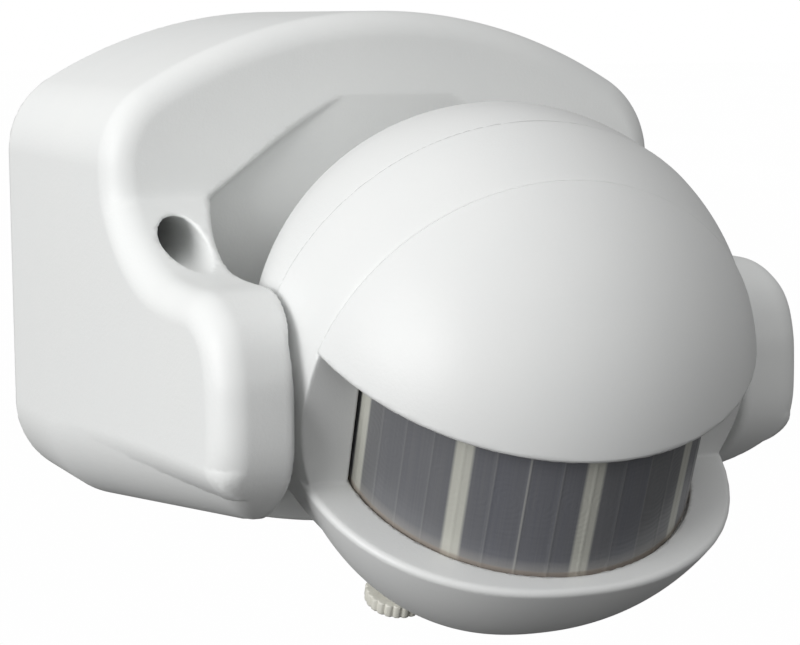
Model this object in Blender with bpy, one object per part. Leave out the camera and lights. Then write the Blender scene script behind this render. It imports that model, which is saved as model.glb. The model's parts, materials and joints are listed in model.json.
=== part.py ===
"""Wall-mounted infrared motion sensor: a hollow base with two cheeks holds a ball head that tilts."""

import math

import bmesh
import bpy
from mathutils import Matrix, Vector

# Every dimension is in millimetres; settle() scales each finished mesh to metres.
# Base frame: the wall is the plane y = 0, the sensor faces -Y, and z = 0 is the height of the tilt axis.
# Head frame: its origin is on the tilt axis; it is turned nose-down by TILT about +X, then aside by
# TURN about +Z.
METRES = 0.001
GAP = 0.3
MERGE = 0.001

# Base housing
HALF_WIDTH = 41.5
TOP_Z = 42.2
TOP_RADIUS = 70.0
BOTTOM_Z = -28.6
BOTTOM_RADIUS = 200.0
CORNER_RADIUS = 12.0
WALL = 2.2
EDGE_ROUND = 4.0
ROUND_ANGLES = tuple(math.radians(angle) for angle in (0.0, 30.0, 60.0, 90.0))
RISE_START = 16.0
RISE_SLOPE = 0.14
RISE_FULL_X = 27.0
RISE_BELOW_Z = -10.0
FACE_Y = -43.2
FACE_Z = 20.0
FACE_LEAN = 0.1
CHEEK_STEP = 0.1
CHEEK_PROFILE = (  # (y, z) down the front of a cheek: slope, top, front, underside
    (-41.9, 23.0), (-43.35, 19.3), (-44.3, 17.8), (-45.7, 16.1), (-48.5, 13.7), (-52.6, 11.5), (-57.0, 10.2),
    (-63.4, 9.7), (-69.9, 9.5), (-74.3, 7.6), (-76.8, 4.9), (-78.2, 0.9), (-78.6, -3.0), (-78.6, -8.0),
    (-77.6, -11.5), (-75.2, -14.5), (-71.0, -17.5), (-64.0, -21.0), (-60.0, -40.0),
)  # fmt: skip

# Pocket between the cheeks, in which the ball sits
POCKET_HALF = 31.8
POCKET_SIDE = ((31.8, 4.0), (27.8, 18.0))
POCKET_APEX_Z = 37.6
POCKET_FLOOR_Y = -37.4
POCKET_FLOOR_LEAN = 0.15

# Rear of the housing
RIM_INSET = 2.0
RIM_DEPTH = 3.9
LEDGE_INSET = 3.9
LEDGE_END = 6.2
PLATE_THICK = 2.1
SEAL_START = 2.4
SEAL_END = 3.6
SEAL_WIDTH = 1.4
PLATE_SCREWS = ((-32.5, 25.5), (32.5, 25.5), (-33.0, -13.5), (33.0, -13.5))
WALL_HOLE = (33.7, 13.2)
WALL_HOLE_RADIUS = 3.05
WALL_SCREW_RADIUS = 2.3
CABLE_Z = -14.0
CABLE_HOLE_RADIUS = 6.3

# Head
PIVOT = (0.0, -69.7, 0.0)
TILT = math.radians(20.8)
TURN = math.radians(-8.0)
HEAD_POSE = Matrix.Rotation(TURN, 3, "Z") @ Matrix.Rotation(TILT, 3, "X")
AXLE_POSE = (HEAD_POSE.inverted() @ Matrix.Rotation(TILT, 3, "X")).to_4x4()
REAR_RADIUS = 31.0
BAND_RADIUS = 31.3
SHELL = 2.0
SEAM_HALF = 0.15
HOOD_SEMI = (31.4, 34.5, 31.4)
HOOD_SEAM_Y = -12.0
HOOD_EDGE_Z = 9.9
HOOD_EDGE_SLOPE = 0.154
RECESS_Y = -12.2
LEDGE_Z = -9.9
LEDGE_SLOPE = 0.115
CHIN_CENTRE = (0.0, -7.8, -0.9)
CHIN_SEMI = (29.5, 28.9, 31.1)
CHIN_POWER = 1.9
CHIN_PLAN_POWER = 2.24
LENS_AXIS_Y = -9.2
LENS_RADIUS = 22.0
LENS_THICK = 0.8
LENS_TOP_Z = 10.6
LENS_TOP_SLOPE = 0.17
HOOD_WALL = 1.6
LENS_HALF_ANGLE = math.radians(88.0)
FRAME_RADIUS = 20.9
FRAME_THICK = 1.2
POST_ANGLES = (-80.0, -40.0, 0.0, 40.0, 80.0)
POST_HALF_ANGLE = 2.8
BOARD_FRONT_Y = -2.8
BOARD_BACK_Y = -1.2
BUSH_RADIUS = 3.4
BUSH_BORE = 2.4
HEAD_SCREWS = ((-24.3, -12.4), (24.3, -12.4), (0.0, 25.0))

# Adjusting knobs, in a row under the head
KNOB_NAMES = ("lux", "sens", "time")
KNOB_PITCH = 13.6
KNOB_Y = -11.0
KNOB_RADIUS = 4.0
KNOB_PAD_Z = -26.9
KNOB_TOP_Z = -27.2
KNOB_BOTTOM_Z = -29.0

# Leads
LEAD_RADIUS = 0.6
LEAD_NAMES = ("brown", "blue", "red")
LEAD_TERMINAL_X = (-9.0, 0.0, 9.0)

COLOURS = {  # name: (red, green, blue, roughness, metallic)
    "housing_white": (0.80, 0.81, 0.80, 0.42, 0.0),
    "head_white": (0.82, 0.83, 0.82, 0.40, 0.0),
    "lens_grey": (0.42, 0.44, 0.50, 0.25, 0.0),
    "frame_ivory": (0.72, 0.71, 0.64, 0.50, 0.0),
    "rubber_black": (0.03, 0.03, 0.03, 0.80, 0.0),
    "steel": (0.62, 0.63, 0.65, 0.30, 1.0),
    "brass": (0.78, 0.60, 0.28, 0.30, 1.0),
    "terminal_grey": (0.55, 0.56, 0.57, 0.50, 0.0),
    "board_green": (0.05, 0.28, 0.12, 0.45, 0.0),
    "relay_blue": (0.05, 0.18, 0.55, 0.40, 0.0),
    "film_yellow": (0.80, 0.62, 0.10, 0.45, 0.0),
    "sleeve_black": (0.04, 0.04, 0.06, 0.35, 0.0),
    "chip_black": (0.02, 0.02, 0.02, 0.50, 0.0),
    "cell_tan": (0.60, 0.42, 0.25, 0.50, 0.0),
    "lamp_red": (0.75, 0.05, 0.04, 0.20, 0.0),
    "trimmer_blue": (0.10, 0.25, 0.60, 0.45, 0.0),
    "lead_brown": (0.25, 0.12, 0.05, 0.50, 0.0),
    "lead_blue": (0.05, 0.15, 0.50, 0.50, 0.0),
    "lead_red": (0.60, 0.04, 0.04, 0.50, 0.0),
}


def clear_scene():
    for obj in list(bpy.data.objects):
        bpy.data.objects.remove(obj, do_unlink=True)


def shape(name, vertices, faces):
    """An object from vertices and faces, as triangles that face out, which keeps the Booleans exact."""
    mesh = bpy.data.meshes.new(name)
    mesh.from_pydata(vertices, [], faces)
    obj = bpy.data.objects.new(name, mesh)
    bpy.context.scene.collection.objects.link(obj)
    bpy.context.view_layer.objects.active = obj
    obj.select_set(True)
    bpy.ops.object.mode_set(mode="EDIT")
    bpy.ops.mesh.select_all(action="SELECT")
    bpy.ops.mesh.remove_doubles(threshold=MERGE)
    bpy.ops.mesh.normals_make_consistent(inside=False)
    bpy.ops.mesh.quads_convert_to_tris()
    bpy.ops.object.mode_set(mode="OBJECT")
    obj.select_set(False)
    return obj


def loft(name, rings):
    """A closed solid through rings of equal length, capped at both ends."""
    count = len(rings[0])
    vertices = [point for ring in rings for point in ring]
    faces = [list(range(count)), list(range(len(vertices) - count, len(vertices)))]
    for level in range(len(rings) - 1):
        for i in range(count):
            j = (i + 1) % count
            low, high = level * count, (level + 1) * count
            faces.append((low + i, low + j, high + j, high + i))
    return shape(name, vertices, faces)


def prism_x(name, points, start, end):
    return loft(name, [[(x, y, z) for y, z in points] for x in (start, end)])


def prism_y(name, points, start, end):
    return loft(name, [[(x, y, z) for x, z in points] for y in (start, end)])


def prism_z(name, points, start, end):
    return loft(name, [[(x, y, z) for x, y in points] for z in (start, end)])


def box(name, low, high):
    corners = ((low[0], low[1]), (high[0], low[1]), (high[0], high[1]), (low[0], high[1]))
    return prism_z(name, corners, low[2], high[2])


def turned(name, profile, origin, axis, segments=20, closed=False):
    """A profile of (radius, height) points turned about an axis; points on the axis become poles."""
    turn = Vector((0, 0, 1)).rotation_difference(Vector(axis)).to_matrix().to_4x4()
    place = Matrix.Translation(origin) @ turn
    vertices = []
    loops = []
    for radius, height in profile:
        count = segments if radius > 0 else 1
        loops.append([len(vertices) + i % count for i in range(segments)])
        for i in range(count):
            angle = 2 * math.pi * i / segments
            vertices.append(place @ Vector((radius * math.cos(angle), radius * math.sin(angle), height)))
    faces = []
    pairs = list(zip(loops, loops[1:]))
    if closed:
        pairs.append((loops[-1], loops[0]))
    for lower, upper in pairs:
        for i in range(segments):
            j = (i + 1) % segments
            face = []
            for index in (lower[i], lower[j], upper[j], upper[i]):
                if index not in face:
                    face.append(index)
            if len(face) > 2:
                faces.append(face)
    return shape(name, vertices, faces)


def rod(name, start, end, radius, segments=16):
    axis = Vector(end) - Vector(start)
    profile = ((0, 0), (radius, 0), (radius, axis.length), (0, axis.length))
    return turned(name, profile, start, axis, segments)


def pipe(name, start, end, outer, bore, segments=20):
    axis = Vector(end) - Vector(start)
    profile = ((bore, 0), (outer, 0), (outer, axis.length), (bore, axis.length))
    return turned(name, profile, start, axis, segments, closed=True)


def ovoid(name, semi, centre, power=2.0, plan_power=2.0, segments=36, levels=18):
    """An ellipsoid with its poles along Z; powers other than 2 make it squarer or more pointed."""
    ring = []
    for i in range(segments):
        x = math.cos(2 * math.pi * i / segments)
        y = math.sin(2 * math.pi * i / segments)
        reach = (abs(x) ** plan_power + abs(y) ** plan_power) ** (-1 / plan_power)
        ring.append((x * reach, y * reach))
    rings = []
    for level in range(1, levels):
        angle = math.pi * (level / levels - 0.5)
        height = math.sin(angle)
        width = (1 - abs(height) ** power) ** (1 / power)
        spread = (semi[0] * width, semi[1] * width)
        z = centre[2] + semi[2] * height
        rings.append([(centre[0] + spread[0] * x, centre[1] + spread[1] * y, z) for x, y in ring])
    vertices = [point for ring in rings for point in ring]
    low = len(vertices)
    vertices.append((centre[0], centre[1], centre[2] - semi[2]))
    vertices.append((centre[0], centre[1], centre[2] + semi[2]))
    last = (len(rings) - 1) * segments
    faces = []
    for i in range(segments):
        j = (i + 1) % segments
        faces.append((low, j, i))
        faces.append((last + i, last + j, low + 1))
        for level in range(len(rings) - 1):
            start = level * segments
            faces.append((start + i, start + j, start + segments + j, start + segments + i))
    return shape(name, vertices, faces)


def combine(obj, other, operation):
    """Joins, cuts or keeps the common part of two solids; the second one is used up."""
    modifier = obj.modifiers.new(operation, "BOOLEAN")
    modifier.operation = operation
    modifier.solver = "EXACT"
    modifier.object = other
    bake(obj)
    bpy.data.objects.remove(other, do_unlink=True)
    triangles = bmesh.new()
    triangles.from_mesh(obj.data)
    bmesh.ops.remove_doubles(triangles, verts=triangles.verts[:], dist=MERGE / 10)
    bmesh.ops.triangulate(triangles, faces=triangles.faces[:])
    triangles.to_mesh(obj.data)
    triangles.free()
    return obj


def join(obj, other):
    return combine(obj, other, "UNION")


def cut(obj, other):
    return combine(obj, other, "DIFFERENCE")


def keep(obj, other):
    return combine(obj, other, "INTERSECT")


def bake(obj):
    """Applies an object's modifiers."""
    graph = bpy.context.evaluated_depsgraph_get()
    mesh = bpy.data.meshes.new_from_object(obj.evaluated_get(graph))
    obj.modifiers.clear()
    obj.data = mesh


def bevel(obj, width, segments, angle):
    modifier = obj.modifiers.new("edge", "BEVEL")
    modifier.width = width
    modifier.segments = segments
    modifier.limit_method = "ANGLE"
    modifier.angle_limit = math.radians(angle)
    modifier.use_clamp_overlap = False
    bake(obj)
    return obj


def material(name):
    if name in bpy.data.materials:
        return bpy.data.materials[name]
    red, green, blue, roughness, metallic = COLOURS[name]
    made = bpy.data.materials.new(name)
    made.use_nodes = True
    surface = made.node_tree.nodes["Principled BSDF"]
    surface.inputs["Base Color"].default_value = (red, green, blue, 1.0)
    surface.inputs["Roughness"].default_value = roughness
    surface.inputs["Metallic"].default_value = metallic
    made.diffuse_color = (red, green, blue, 1.0)
    return made


def settle(obj, colour, head=False, origin=(0.0, 0.0, 0.0)):
    """Gives a finished solid its material, its shading, its size in metres and its place."""
    mesh = obj.data
    mesh.transform(Matrix.Scale(METRES, 4) @ Matrix.Translation(-Vector(origin)))
    mesh.materials.clear()
    mesh.materials.append(material(colour))
    mesh.shade_smooth()
    mesh.set_sharp_from_angle(angle=math.radians(32))
    place = Vector(origin)
    if head:
        obj.rotation_euler = HEAD_POSE.to_euler()
        place = Vector(PIVOT) + HEAD_POSE @ place
    obj.location = place * METRES
    return obj


def on_axle(obj):
    """Turns a piece made along X onto the tilt axis, as the turned head sees it."""
    obj.data.transform(AXLE_POSE)
    return obj


def arc(centre, radius, start, end, count):
    """Points (x, z) on an arc, angles in radians from +X, both ends included."""
    step = (end - start) / (count - 1)
    return [
        (centre[0] + radius * math.cos(start + i * step), centre[1] + radius * math.sin(start + i * step))
        for i in range(count)
    ]  # fmt: skip


def housing_outline(inset):
    """The housing seen from the front, drawn in by an inset: (x, z) points, anticlockwise from the bottom."""
    corner_x = HALF_WIDTH - CORNER_RADIUS
    low_z = BOTTOM_Z + BOTTOM_RADIUS
    low_reach = BOTTOM_RADIUS - CORNER_RADIUS
    low_corner = (corner_x, low_z - math.sqrt(low_reach**2 - corner_x**2))
    high_z = TOP_Z - TOP_RADIUS
    high_reach = TOP_RADIUS - CORNER_RADIUS
    high_corner = (corner_x, high_z + math.sqrt(high_reach**2 - corner_x**2))
    low_angle = math.asin(corner_x / low_reach) - math.pi / 2
    high_angle = math.acos(corner_x / high_reach)
    half = arc((0.0, low_z), BOTTOM_RADIUS - inset, -math.pi / 2, low_angle, 4)
    half += arc(low_corner, CORNER_RADIUS - inset, low_angle, 0.0, 6)[1:]
    half += arc(high_corner, CORNER_RADIUS - inset, 0.0, high_angle, 6)
    half += arc((0.0, high_z), TOP_RADIUS - inset, high_angle, math.pi / 2, 7)[1:]
    return half + [(-x, z) for x, z in reversed(half[1:-1])]


def underside_rise(x, y, z):
    """How far the draft of the underside lifts a point of the outline at depth y."""
    if z > RISE_BELOW_Z:
        return 0.0
    share = min(1.0, abs(x) / RISE_FULL_X) ** 2
    return share * RISE_SLOPE * max(0.0, -y - RISE_START)


def housing_block(name, steps):
    """The outline run back through steps of (inset, y)."""
    rings = []
    for inset, y in steps:
        rings.append([(x, y, z + underside_rise(x, y, z)) for x, z in housing_outline(inset)])
    return loft(name, rings)


def offset(points, distance):
    """An open (y, z) line moved sideways, to its left, by a distance."""
    moved = []
    for i, point in enumerate(points):
        before = Vector(points[max(i - 1, 0)])
        after = Vector(points[min(i + 1, len(points) - 1)])
        along = (after - before).normalized()
        moved.append((point[0] - along[1] * distance, point[1] + along[0] * distance))
    return moved


def pocket(name, grow):
    """The space between the cheeks: sides closing to a point above, a floor leaning forward."""
    half = [(POCKET_HALF + grow, -60.0)] + [(x + grow, z) for x, z in POCKET_SIDE]
    outline = half + [(0.0, POCKET_APEX_Z + grow)] + [(-x, z) for x, z in reversed(half)]
    floor_y = POCKET_FLOOR_Y + grow
    leaning_y = floor_y - POCKET_FLOOR_LEAN * 60.0
    floor = ((floor_y, -70.0), (floor_y, 0.0), (leaning_y, 60.0), (-110.0, 60.0), (-110.0, -70.0))
    return keep(prism_y(name, outline, -100.0, 0.0), prism_x("floor", floor, -60.0, 60.0))


def face_y(z):
    """Depth of the leaning upper front face."""
    return FACE_Y + FACE_LEAN * (z - FACE_Z)


def main_block():
    """The housing behind its front face, with the edge of the face rounded."""
    rings = [[(x, y, z) for x, z in housing_outline(0.0)] for y in (0.0, -RISE_START)]
    for angle in ROUND_ANGLES:
        back = EDGE_ROUND * (1 - math.sin(angle))
        ring = []
        for x, z in housing_outline(EDGE_ROUND * (1 - math.cos(angle))):
            raised = z + underside_rise(x, face_y(z) + back, z)
            ring.append((x, face_y(raised) + back, raised))
        rings.append(ring)
    return loft("base_housing", rings)


def cheek_block(name, inset, half_width):
    """A bar right across the front with the side shape of the cheeks and rounded ends."""
    insets = [EDGE_ROUND * (1 - math.cos(angle)) for angle in ROUND_ANGLES]
    outs = [half_width - EDGE_ROUND * (1 - math.sin(angle)) for angle in ROUND_ANGLES]
    stations = [(-out, extra) for out, extra in zip(outs, insets)][::-1] + list(zip(outs, insets))
    rings = []
    for x, extra in stations:
        line = offset(CHEEK_PROFILE, inset + extra)
        rings.append([(x, y, z) for y, z in line + [(-20.0, -40.0), (-20.0, 23.0)]])
    return loft(name, rings)


def housing_cavity():
    """The hollow of the housing: a stepped rear opening, then the inside less pocket wall and posts."""
    steps = (
        (RIM_INSET, 1.0), (RIM_INSET, -RIM_DEPTH), (LEDGE_INSET, -RIM_DEPTH), (LEDGE_INSET, -LEDGE_END),
        (WALL, -LEDGE_END), (WALL, -RISE_START), (WALL, -85.0),
    )  # fmt: skip
    cavity = housing_block("cavity", steps)
    profile = [(face_y(50.0) + WALL, 50.0)] + offset(CHEEK_PROFILE, WALL)
    keep(cavity, prism_x("front", profile + [(20.0, -40.0), (20.0, 50.0)], -60.0, 60.0))
    cut(cavity, pocket("pocket_wall", WALL))
    rear = -RIM_DEPTH - 0.2
    for x, z in PLATE_SCREWS[:2]:
        cut(cavity, rod("post", (x, rear, z), (x, -60.0, z), 2.8))
    for x, z in PLATE_SCREWS[2:]:
        side = math.copysign(1.0, x)
        rib_x = sorted((x, side * 50.0))
        post = rod("post", (x, rear, z), (x, -22.0, z), 2.8)
        cut(cavity, join(post, box("rib", (rib_x[0], -21.0, z - 0.8), (rib_x[1], rear - 1.0, z + 0.8))))
    for side in (-1, 1):
        tube_x = side * WALL_HOLE[0]
        cut(cavity, rod("tube", (tube_x, rear, WALL_HOLE[1]), (tube_x, -90.0, WALL_HOLE[1]), 4.6))
        cut(cavity, rod("block_post", (side * 10.0, -50.0, 19.0), (side * 10.0, -34.9, 19.0), 2.4))
        cut(cavity, rod("clamp_post", (side * 8.0, -50.0, -8.0), (side * 8.0, -26.0, -8.0), 2.6))
    return cavity


def base_housing():
    body = main_block()
    inside = CHEEK_STEP / 2
    cheeks = cheek_block("cheeks", 0.0, HALF_WIDTH - CHEEK_STEP)
    keep(cheeks, housing_block("limit", ((inside, -10.0), (inside, -RISE_START), (inside, -85.0))))
    join(body, cheeks)
    cut(body, pocket("pocket", 0.0))
    cut(body, housing_cavity())
    for x, z in PLATE_SCREWS:
        cut(body, rod("pilot", (x, 1.0, z), (x, -14.0, z), 1.7))
    for side in (-1, 1):
        x = side * WALL_HOLE[0]
        cut(body, rod("well", (x, -80.0, WALL_HOLE[1]), (x, -6.0, WALL_HOLE[1]), WALL_HOLE_RADIUS))
        cut(body, rod("through", (x, -8.0, WALL_HOLE[1]), (x, 1.0, WALL_HOLE[1]), WALL_SCREW_RADIUS))
        cut(body, rod("clamp_pilot", (side * 8.0, -33.0, -8.0), (side * 8.0, -20.0, -8.0), 1.6, 12))
        start = (side * 28.0, PIVOT[1], PIVOT[2])
        end = (side * 36.0, PIVOT[1], PIVOT[2])
        cut(body, rod("pivot_hole", start, end, BUSH_RADIUS + GAP))
    return settle(body, "housing_white")


def back_parts():
    plate = housing_block("back_plate", ((RIM_INSET + GAP, 0.0), (RIM_INSET + GAP, -PLATE_THICK)))
    cut(plate, rod("cable_hole", (0.0, 1.0, CABLE_Z), (0.0, -5.0, CABLE_Z), CABLE_HOLE_RADIUS))
    for side in (-1, 1):
        x = side * WALL_HOLE[0]
        cut(plate, rod("wall_hole", (x, 1.0, WALL_HOLE[1]), (x, -5.0, WALL_HOLE[1]), WALL_SCREW_RADIUS))
    for i, (x, z) in enumerate(PLATE_SCREWS):
        cut(plate, rod("screw_hole", (x, 1.0, z), (x, -5.0, z), 1.7))
        cut(plate, rod("screw_sink", (x, 1.0, z), (x, -1.2, z), 3.0))
        screw(f"back_plate_screw_{i + 1}", (x, -0.15, z), (0, -1, 0), 2.6, 0.8, 1.35, 10.0)
    settle(plate, "housing_white")

    edge = RIM_INSET + GAP
    seal = housing_block("back_plate_seal", ((edge, -SEAL_START), (edge, -SEAL_END)))
    inner = housing_block("inner", ((edge + SEAL_WIDTH, 0.0), (edge + SEAL_WIDTH, -SEAL_END - 1.0)))
    settle(cut(seal, inner), "rubber_black")

    profile = ((3.2, 0.1), (6.0, 0.1), (6.0, 2.4), (8.2, 2.4), (8.2, 4.2), (3.2, 4.2))
    grommet = turned("cable_grommet", profile, (0.0, 0.0, CABLE_Z), (0, -1, 0), 24, closed=True)
    settle(grommet, "rubber_black")


def screw(name, head_top, direction, head_radius, head_height, shank_radius, shank_length, head=False):
    """A screw whose head starts at head_top and whose shank runs on along direction, with a slotted head."""
    length = head_height + shank_length
    profile = (
        (0, 0), (head_radius - 0.3, 0), (head_radius, 0.3), (head_radius, head_height),
        (shank_radius, head_height), (shank_radius, length - 0.8), (0, length),
    )  # fmt: skip
    made = turned(name, profile, head_top, direction, 12)
    place = Matrix.Translation(head_top)
    turn = Vector((0, 0, 1)).rotation_difference(Vector(direction)).to_matrix().to_4x4()
    slot = box("slot", (-head_radius - 1, -0.35, -1.0), (head_radius + 1, 0.35, 0.45))
    slot.data.transform(place @ turn)
    return settle(cut(made, slot), "steel", head)


def terminal_parts():
    block = box("terminal_block", (-14.0, -34.6, 12.5), (14.0, -22.6, 25.5))
    for i, x in enumerate(LEAD_TERMINAL_X):
        cut(block, rod("screw_well", (x, -27.6, 19.0), (x, -20.0, 19.0), 2.6, 16))
        cut(block, rod("wire_hole", (x, -29.6, 10.0), (x, -29.6, 16.0), 1.2, 12))
        screw(f"terminal_screw_{i + 1}", (x, -24.2, 19.0), (0, -1, 0), 2.2, 2.0, 1.2, 1.1)
    for x in (-4.5, 4.5):
        cut(block, box("groove", (x - 0.5, -24.0, 10.0), (x + 0.5, -20.0, 28.0)))
    settle(block, "terminal_grey")

    clamp = box("cable_clamp", (-11.5, -25.7, -11.0), (11.5, -22.7, -5.0))
    cut(clamp, rod("cable_groove", (0.0, -27.6, -20.0), (0.0, -27.6, 5.0), 3.6))
    for i, side in enumerate((-1, 1)):
        cut(clamp, rod("clamp_hole", (side * 8.0, -30.0, -8.0), (side * 8.0, -20.0, -8.0), 1.6, 12))
        screw(f"clamp_screw_{i + 1}", (side * 8.0, -20.9, -8.0), (0, -1, 0), 2.4, 1.5, 1.2, 8.0)
    settle(clamp, "housing_white")


def pivot_parts():
    for side, word in ((-1, "left"), (1, "right")):
        profile = (
            (BUSH_BORE + 0.4, 0), (6.0, 0), (6.0, 1.8), (BUSH_RADIUS, 1.8), (BUSH_RADIUS, 9.8),
            (BUSH_RADIUS - 0.4, 9.8), (BUSH_RADIUS - 0.4, 10.5), (BUSH_RADIUS, 10.5), (BUSH_RADIUS, 10.8),
            (BUSH_BORE, 10.8), (BUSH_BORE, 1.0),
        )  # fmt: skip
        bush = turned(f"pivot_bush_{word}", profile, (side * 25.4, 0, 0), (side, 0, 0), 18, closed=True)
        settle(on_axle(bush), "head_white", head=True)
        ring = pipe(f"pivot_ring_{word}", (side * 35.3, 0, 0), (side * 35.8, 0, 0), 4.5, BUSH_RADIUS - 0.3)
        cut(ring, box("opening", (side * 34.0 - 3, -1.2, -6.0), (side * 37.0 + 3, 1.2, 0.0)))
        settle(on_axle(ring), "steel", head=True)
        start = (side * 34.3, PIVOT[1], PIVOT[2])
        end = (side * 34.9, PIVOT[1], PIVOT[2])
        settle(pipe(f"pivot_washer_{word}", start, end, 4.7, BUSH_RADIUS + GAP), "brass")


def head_pivot_cuts(shell):
    """A hole for each bush, with a slot from it to the seam so that the bush can be laid in."""
    radius = BUSH_RADIUS + GAP
    for side in (-1, 1):
        cut(shell, on_axle(rod("pivot", (side * 27.0, 0, 0), (side * 34.0, 0, 0), radius)))
        centre = AXLE_POSE @ Vector((side * REAR_RADIUS, 0, 0))
        near_x, far_x = sorted((side * 27.0, side * 34.0))
        near_y, far_y = sorted((0.0, centre.y))
        cut(shell, box("slot", (near_x, near_y, centre.z - radius), (far_x, far_y, centre.z + radius)))
    return shell


def head_rear_shell():
    shell = ovoid("head_rear_shell", (REAR_RADIUS,) * 3, (0, 0, 0))
    cut(shell, ovoid("inside", (REAR_RADIUS - SHELL,) * 3, (0, 0, 0)))
    cut(shell, box("front_half", (-50, -50, -50), (50, SEAM_HALF, 50)))
    for x, z in HEAD_SCREWS:
        boss = rod("boss", (x, SEAM_HALF, z), (x, 30.0, z), 3.6)
        join(shell, keep(boss, ovoid("limit", (REAR_RADIUS - 0.5,) * 3, (0, 0, 0))))
        cut(shell, rod("hole", (x, -5.0, z), (x, 30.0, z), 1.6, 12))
        cut(shell, rod("sink", (x, 7.0, z), (x, 30.0, z), 2.8, 16))
    return settle(head_pivot_cuts(shell), "head_white", head=True)


def hood_edge_block(name, lift, front_y, back_y):
    """Everything above the sloping lower edge of the hood, lifted by a margin."""
    edge = [(y, HOOD_EDGE_Z + HOOD_EDGE_SLOPE * y + lift) for y in (back_y, front_y)]
    return prism_x(name, edge + [(front_y, 60.0), (back_y, 60.0)], -50.0, 50.0)


def chin_solid(name, inset):
    semi = [size - inset for size in CHIN_SEMI]
    return ovoid(name, semi, CHIN_CENTRE, CHIN_POWER, CHIN_PLAN_POWER)


def ledge(y):
    """Height of the ledge under the lens, which falls towards the front."""
    return LEDGE_Z + LEDGE_SLOPE * (y - RECESS_Y)


def below_ledge(name, drop, back_y):
    """Everything under the ledge and in front of a depth."""
    front_y = -50.0
    points = [(y, ledge(y) - drop) for y in (back_y, front_y)] + [(front_y, -50.0), (back_y, -50.0)]
    return prism_x(name, points, -50.0, 50.0)


def head_front_shell():
    shell = ovoid("head_front_shell", (BAND_RADIUS,) * 3, (0, 0, 0))
    keep(shell, box("band", (-50, RECESS_Y, -50), (50, -SEAM_HALF, 50)))
    chin = keep(chin_solid("chin", 0.0), below_ledge("chin_part", 0.0, -SEAM_HALF))
    join(shell, chin)
    cut(shell, hood_edge_block("hood_seat", -GAP, -60.0, HOOD_SEAM_Y + SEAM_HALF))

    inside = ovoid("inside", (REAR_RADIUS - SHELL,) * 3, (0, 0, 0))
    keep(inside, box("inside_part", (-50, RECESS_Y + SHELL, -50), (50, 5.0, 50)))
    bowl = keep(chin_solid("bowl", SHELL), below_ledge("bowl_part", SHELL, -SEAM_HALF - 1.0))
    join(inside, bowl)
    pad_half = KNOB_PITCH + KNOB_RADIUS + 2.0
    pad_back = KNOB_Y + KNOB_RADIUS + 2.0
    pad_front = KNOB_Y - KNOB_RADIUS - 2.0
    roof = (pad_half + SHELL, pad_back + SHELL, KNOB_PAD_Z + SHELL)
    cut(inside, box("pad", (-pad_half - SHELL, pad_front - SHELL, -40.0), roof))
    cut(shell, inside)
    low = (-LENS_RADIUS - GAP, RECESS_Y - 2.0, LEDGE_Z + 0.15)
    cut(shell, box("window", low, (LENS_RADIUS + GAP, RECESS_Y + SHELL + 0.5, LENS_TOP_Z + 1.0)))
    groove_start = (0, LENS_AXIS_Y, -20.0)
    groove_end = (0, LENS_AXIS_Y, LEDGE_Z + 1.0)
    groove = pipe("groove", groove_start, groove_end, LENS_RADIUS + GAP, LENS_RADIUS - LENS_THICK - GAP, 64)
    cut(groove, box("groove_back", (-40, LENS_AXIS_Y - 0.5, -50), (40, 40, 50)))
    cut(shell, cut(groove, below_ledge("groove_floor", 0.9, 0.0)))

    rib_low = (-0.8, -7.4, HEAD_SCREWS[2][1] + 1.9)
    join(shell, box("top_rib", rib_low, (0.8, -SEAM_HALF - 0.1, REAR_RADIUS - SHELL + 0.6)))
    for x, z in HEAD_SCREWS:
        pillar = rod("pillar", (x, -SEAM_HALF, z), (x, -7.5, z), 2.6)
        join(shell, keep(pillar, ovoid("limit", (BAND_RADIUS - 0.5,) * 3, (0, 0, 0))))
        cut(shell, rod("pilot", (x, 3.0, z), (x, -6.5, z), 1.6, 12))
    cut(shell, box("knob_pad", (-pad_half, pad_front, -45.0), (pad_half, pad_back, KNOB_PAD_Z)))
    for i in (-1, 0, 1):
        x = i * KNOB_PITCH
        cut(shell, rod("shaft_hole", (x, KNOB_Y, -35.0), (x, KNOB_Y, -20.0), 2.3, 16))
    return settle(head_pivot_cuts(shell), "head_white", head=True)


def hood():
    shell = ovoid("hood", HOOD_SEMI, (0, 0, 0))
    cut(shell, ovoid("inside", [size - HOOD_WALL for size in HOOD_SEMI], (0, 0, 0)))
    keep(shell, hood_edge_block("hood_part", 0.0, -60.0, HOOD_SEAM_Y - SEAM_HALF))
    return settle(shell, "head_white", head=True)


def lens_top(y):
    """Height of the sloping top edge of the lens, which follows the edge of the hood."""
    return LENS_TOP_Z + LENS_TOP_SLOPE * (y - LENS_AXIS_Y)


def bent_sheet(name, outer, thick, bottom, top, half_angle, steps, middle=0.0):
    """A sheet bent about the lens axis; bottom and top give heights by y, angles are from straight ahead."""
    rings = []
    for i in range(steps + 1):
        angle = middle + half_angle * (2 * i / steps - 1)
        ring = []
        for radius, height in ((outer, bottom), (outer - thick, bottom), (outer - thick, top), (outer, top)):
            y = LENS_AXIS_Y - radius * math.cos(angle)
            ring.append((radius * math.sin(angle), y, height(y)))
        rings.append(ring)
    return loft(name, rings)


def above_ledge(rise):
    return lambda y: ledge(y) + rise


def below_top(drop):
    return lambda y: lens_top(y) - drop


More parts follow.
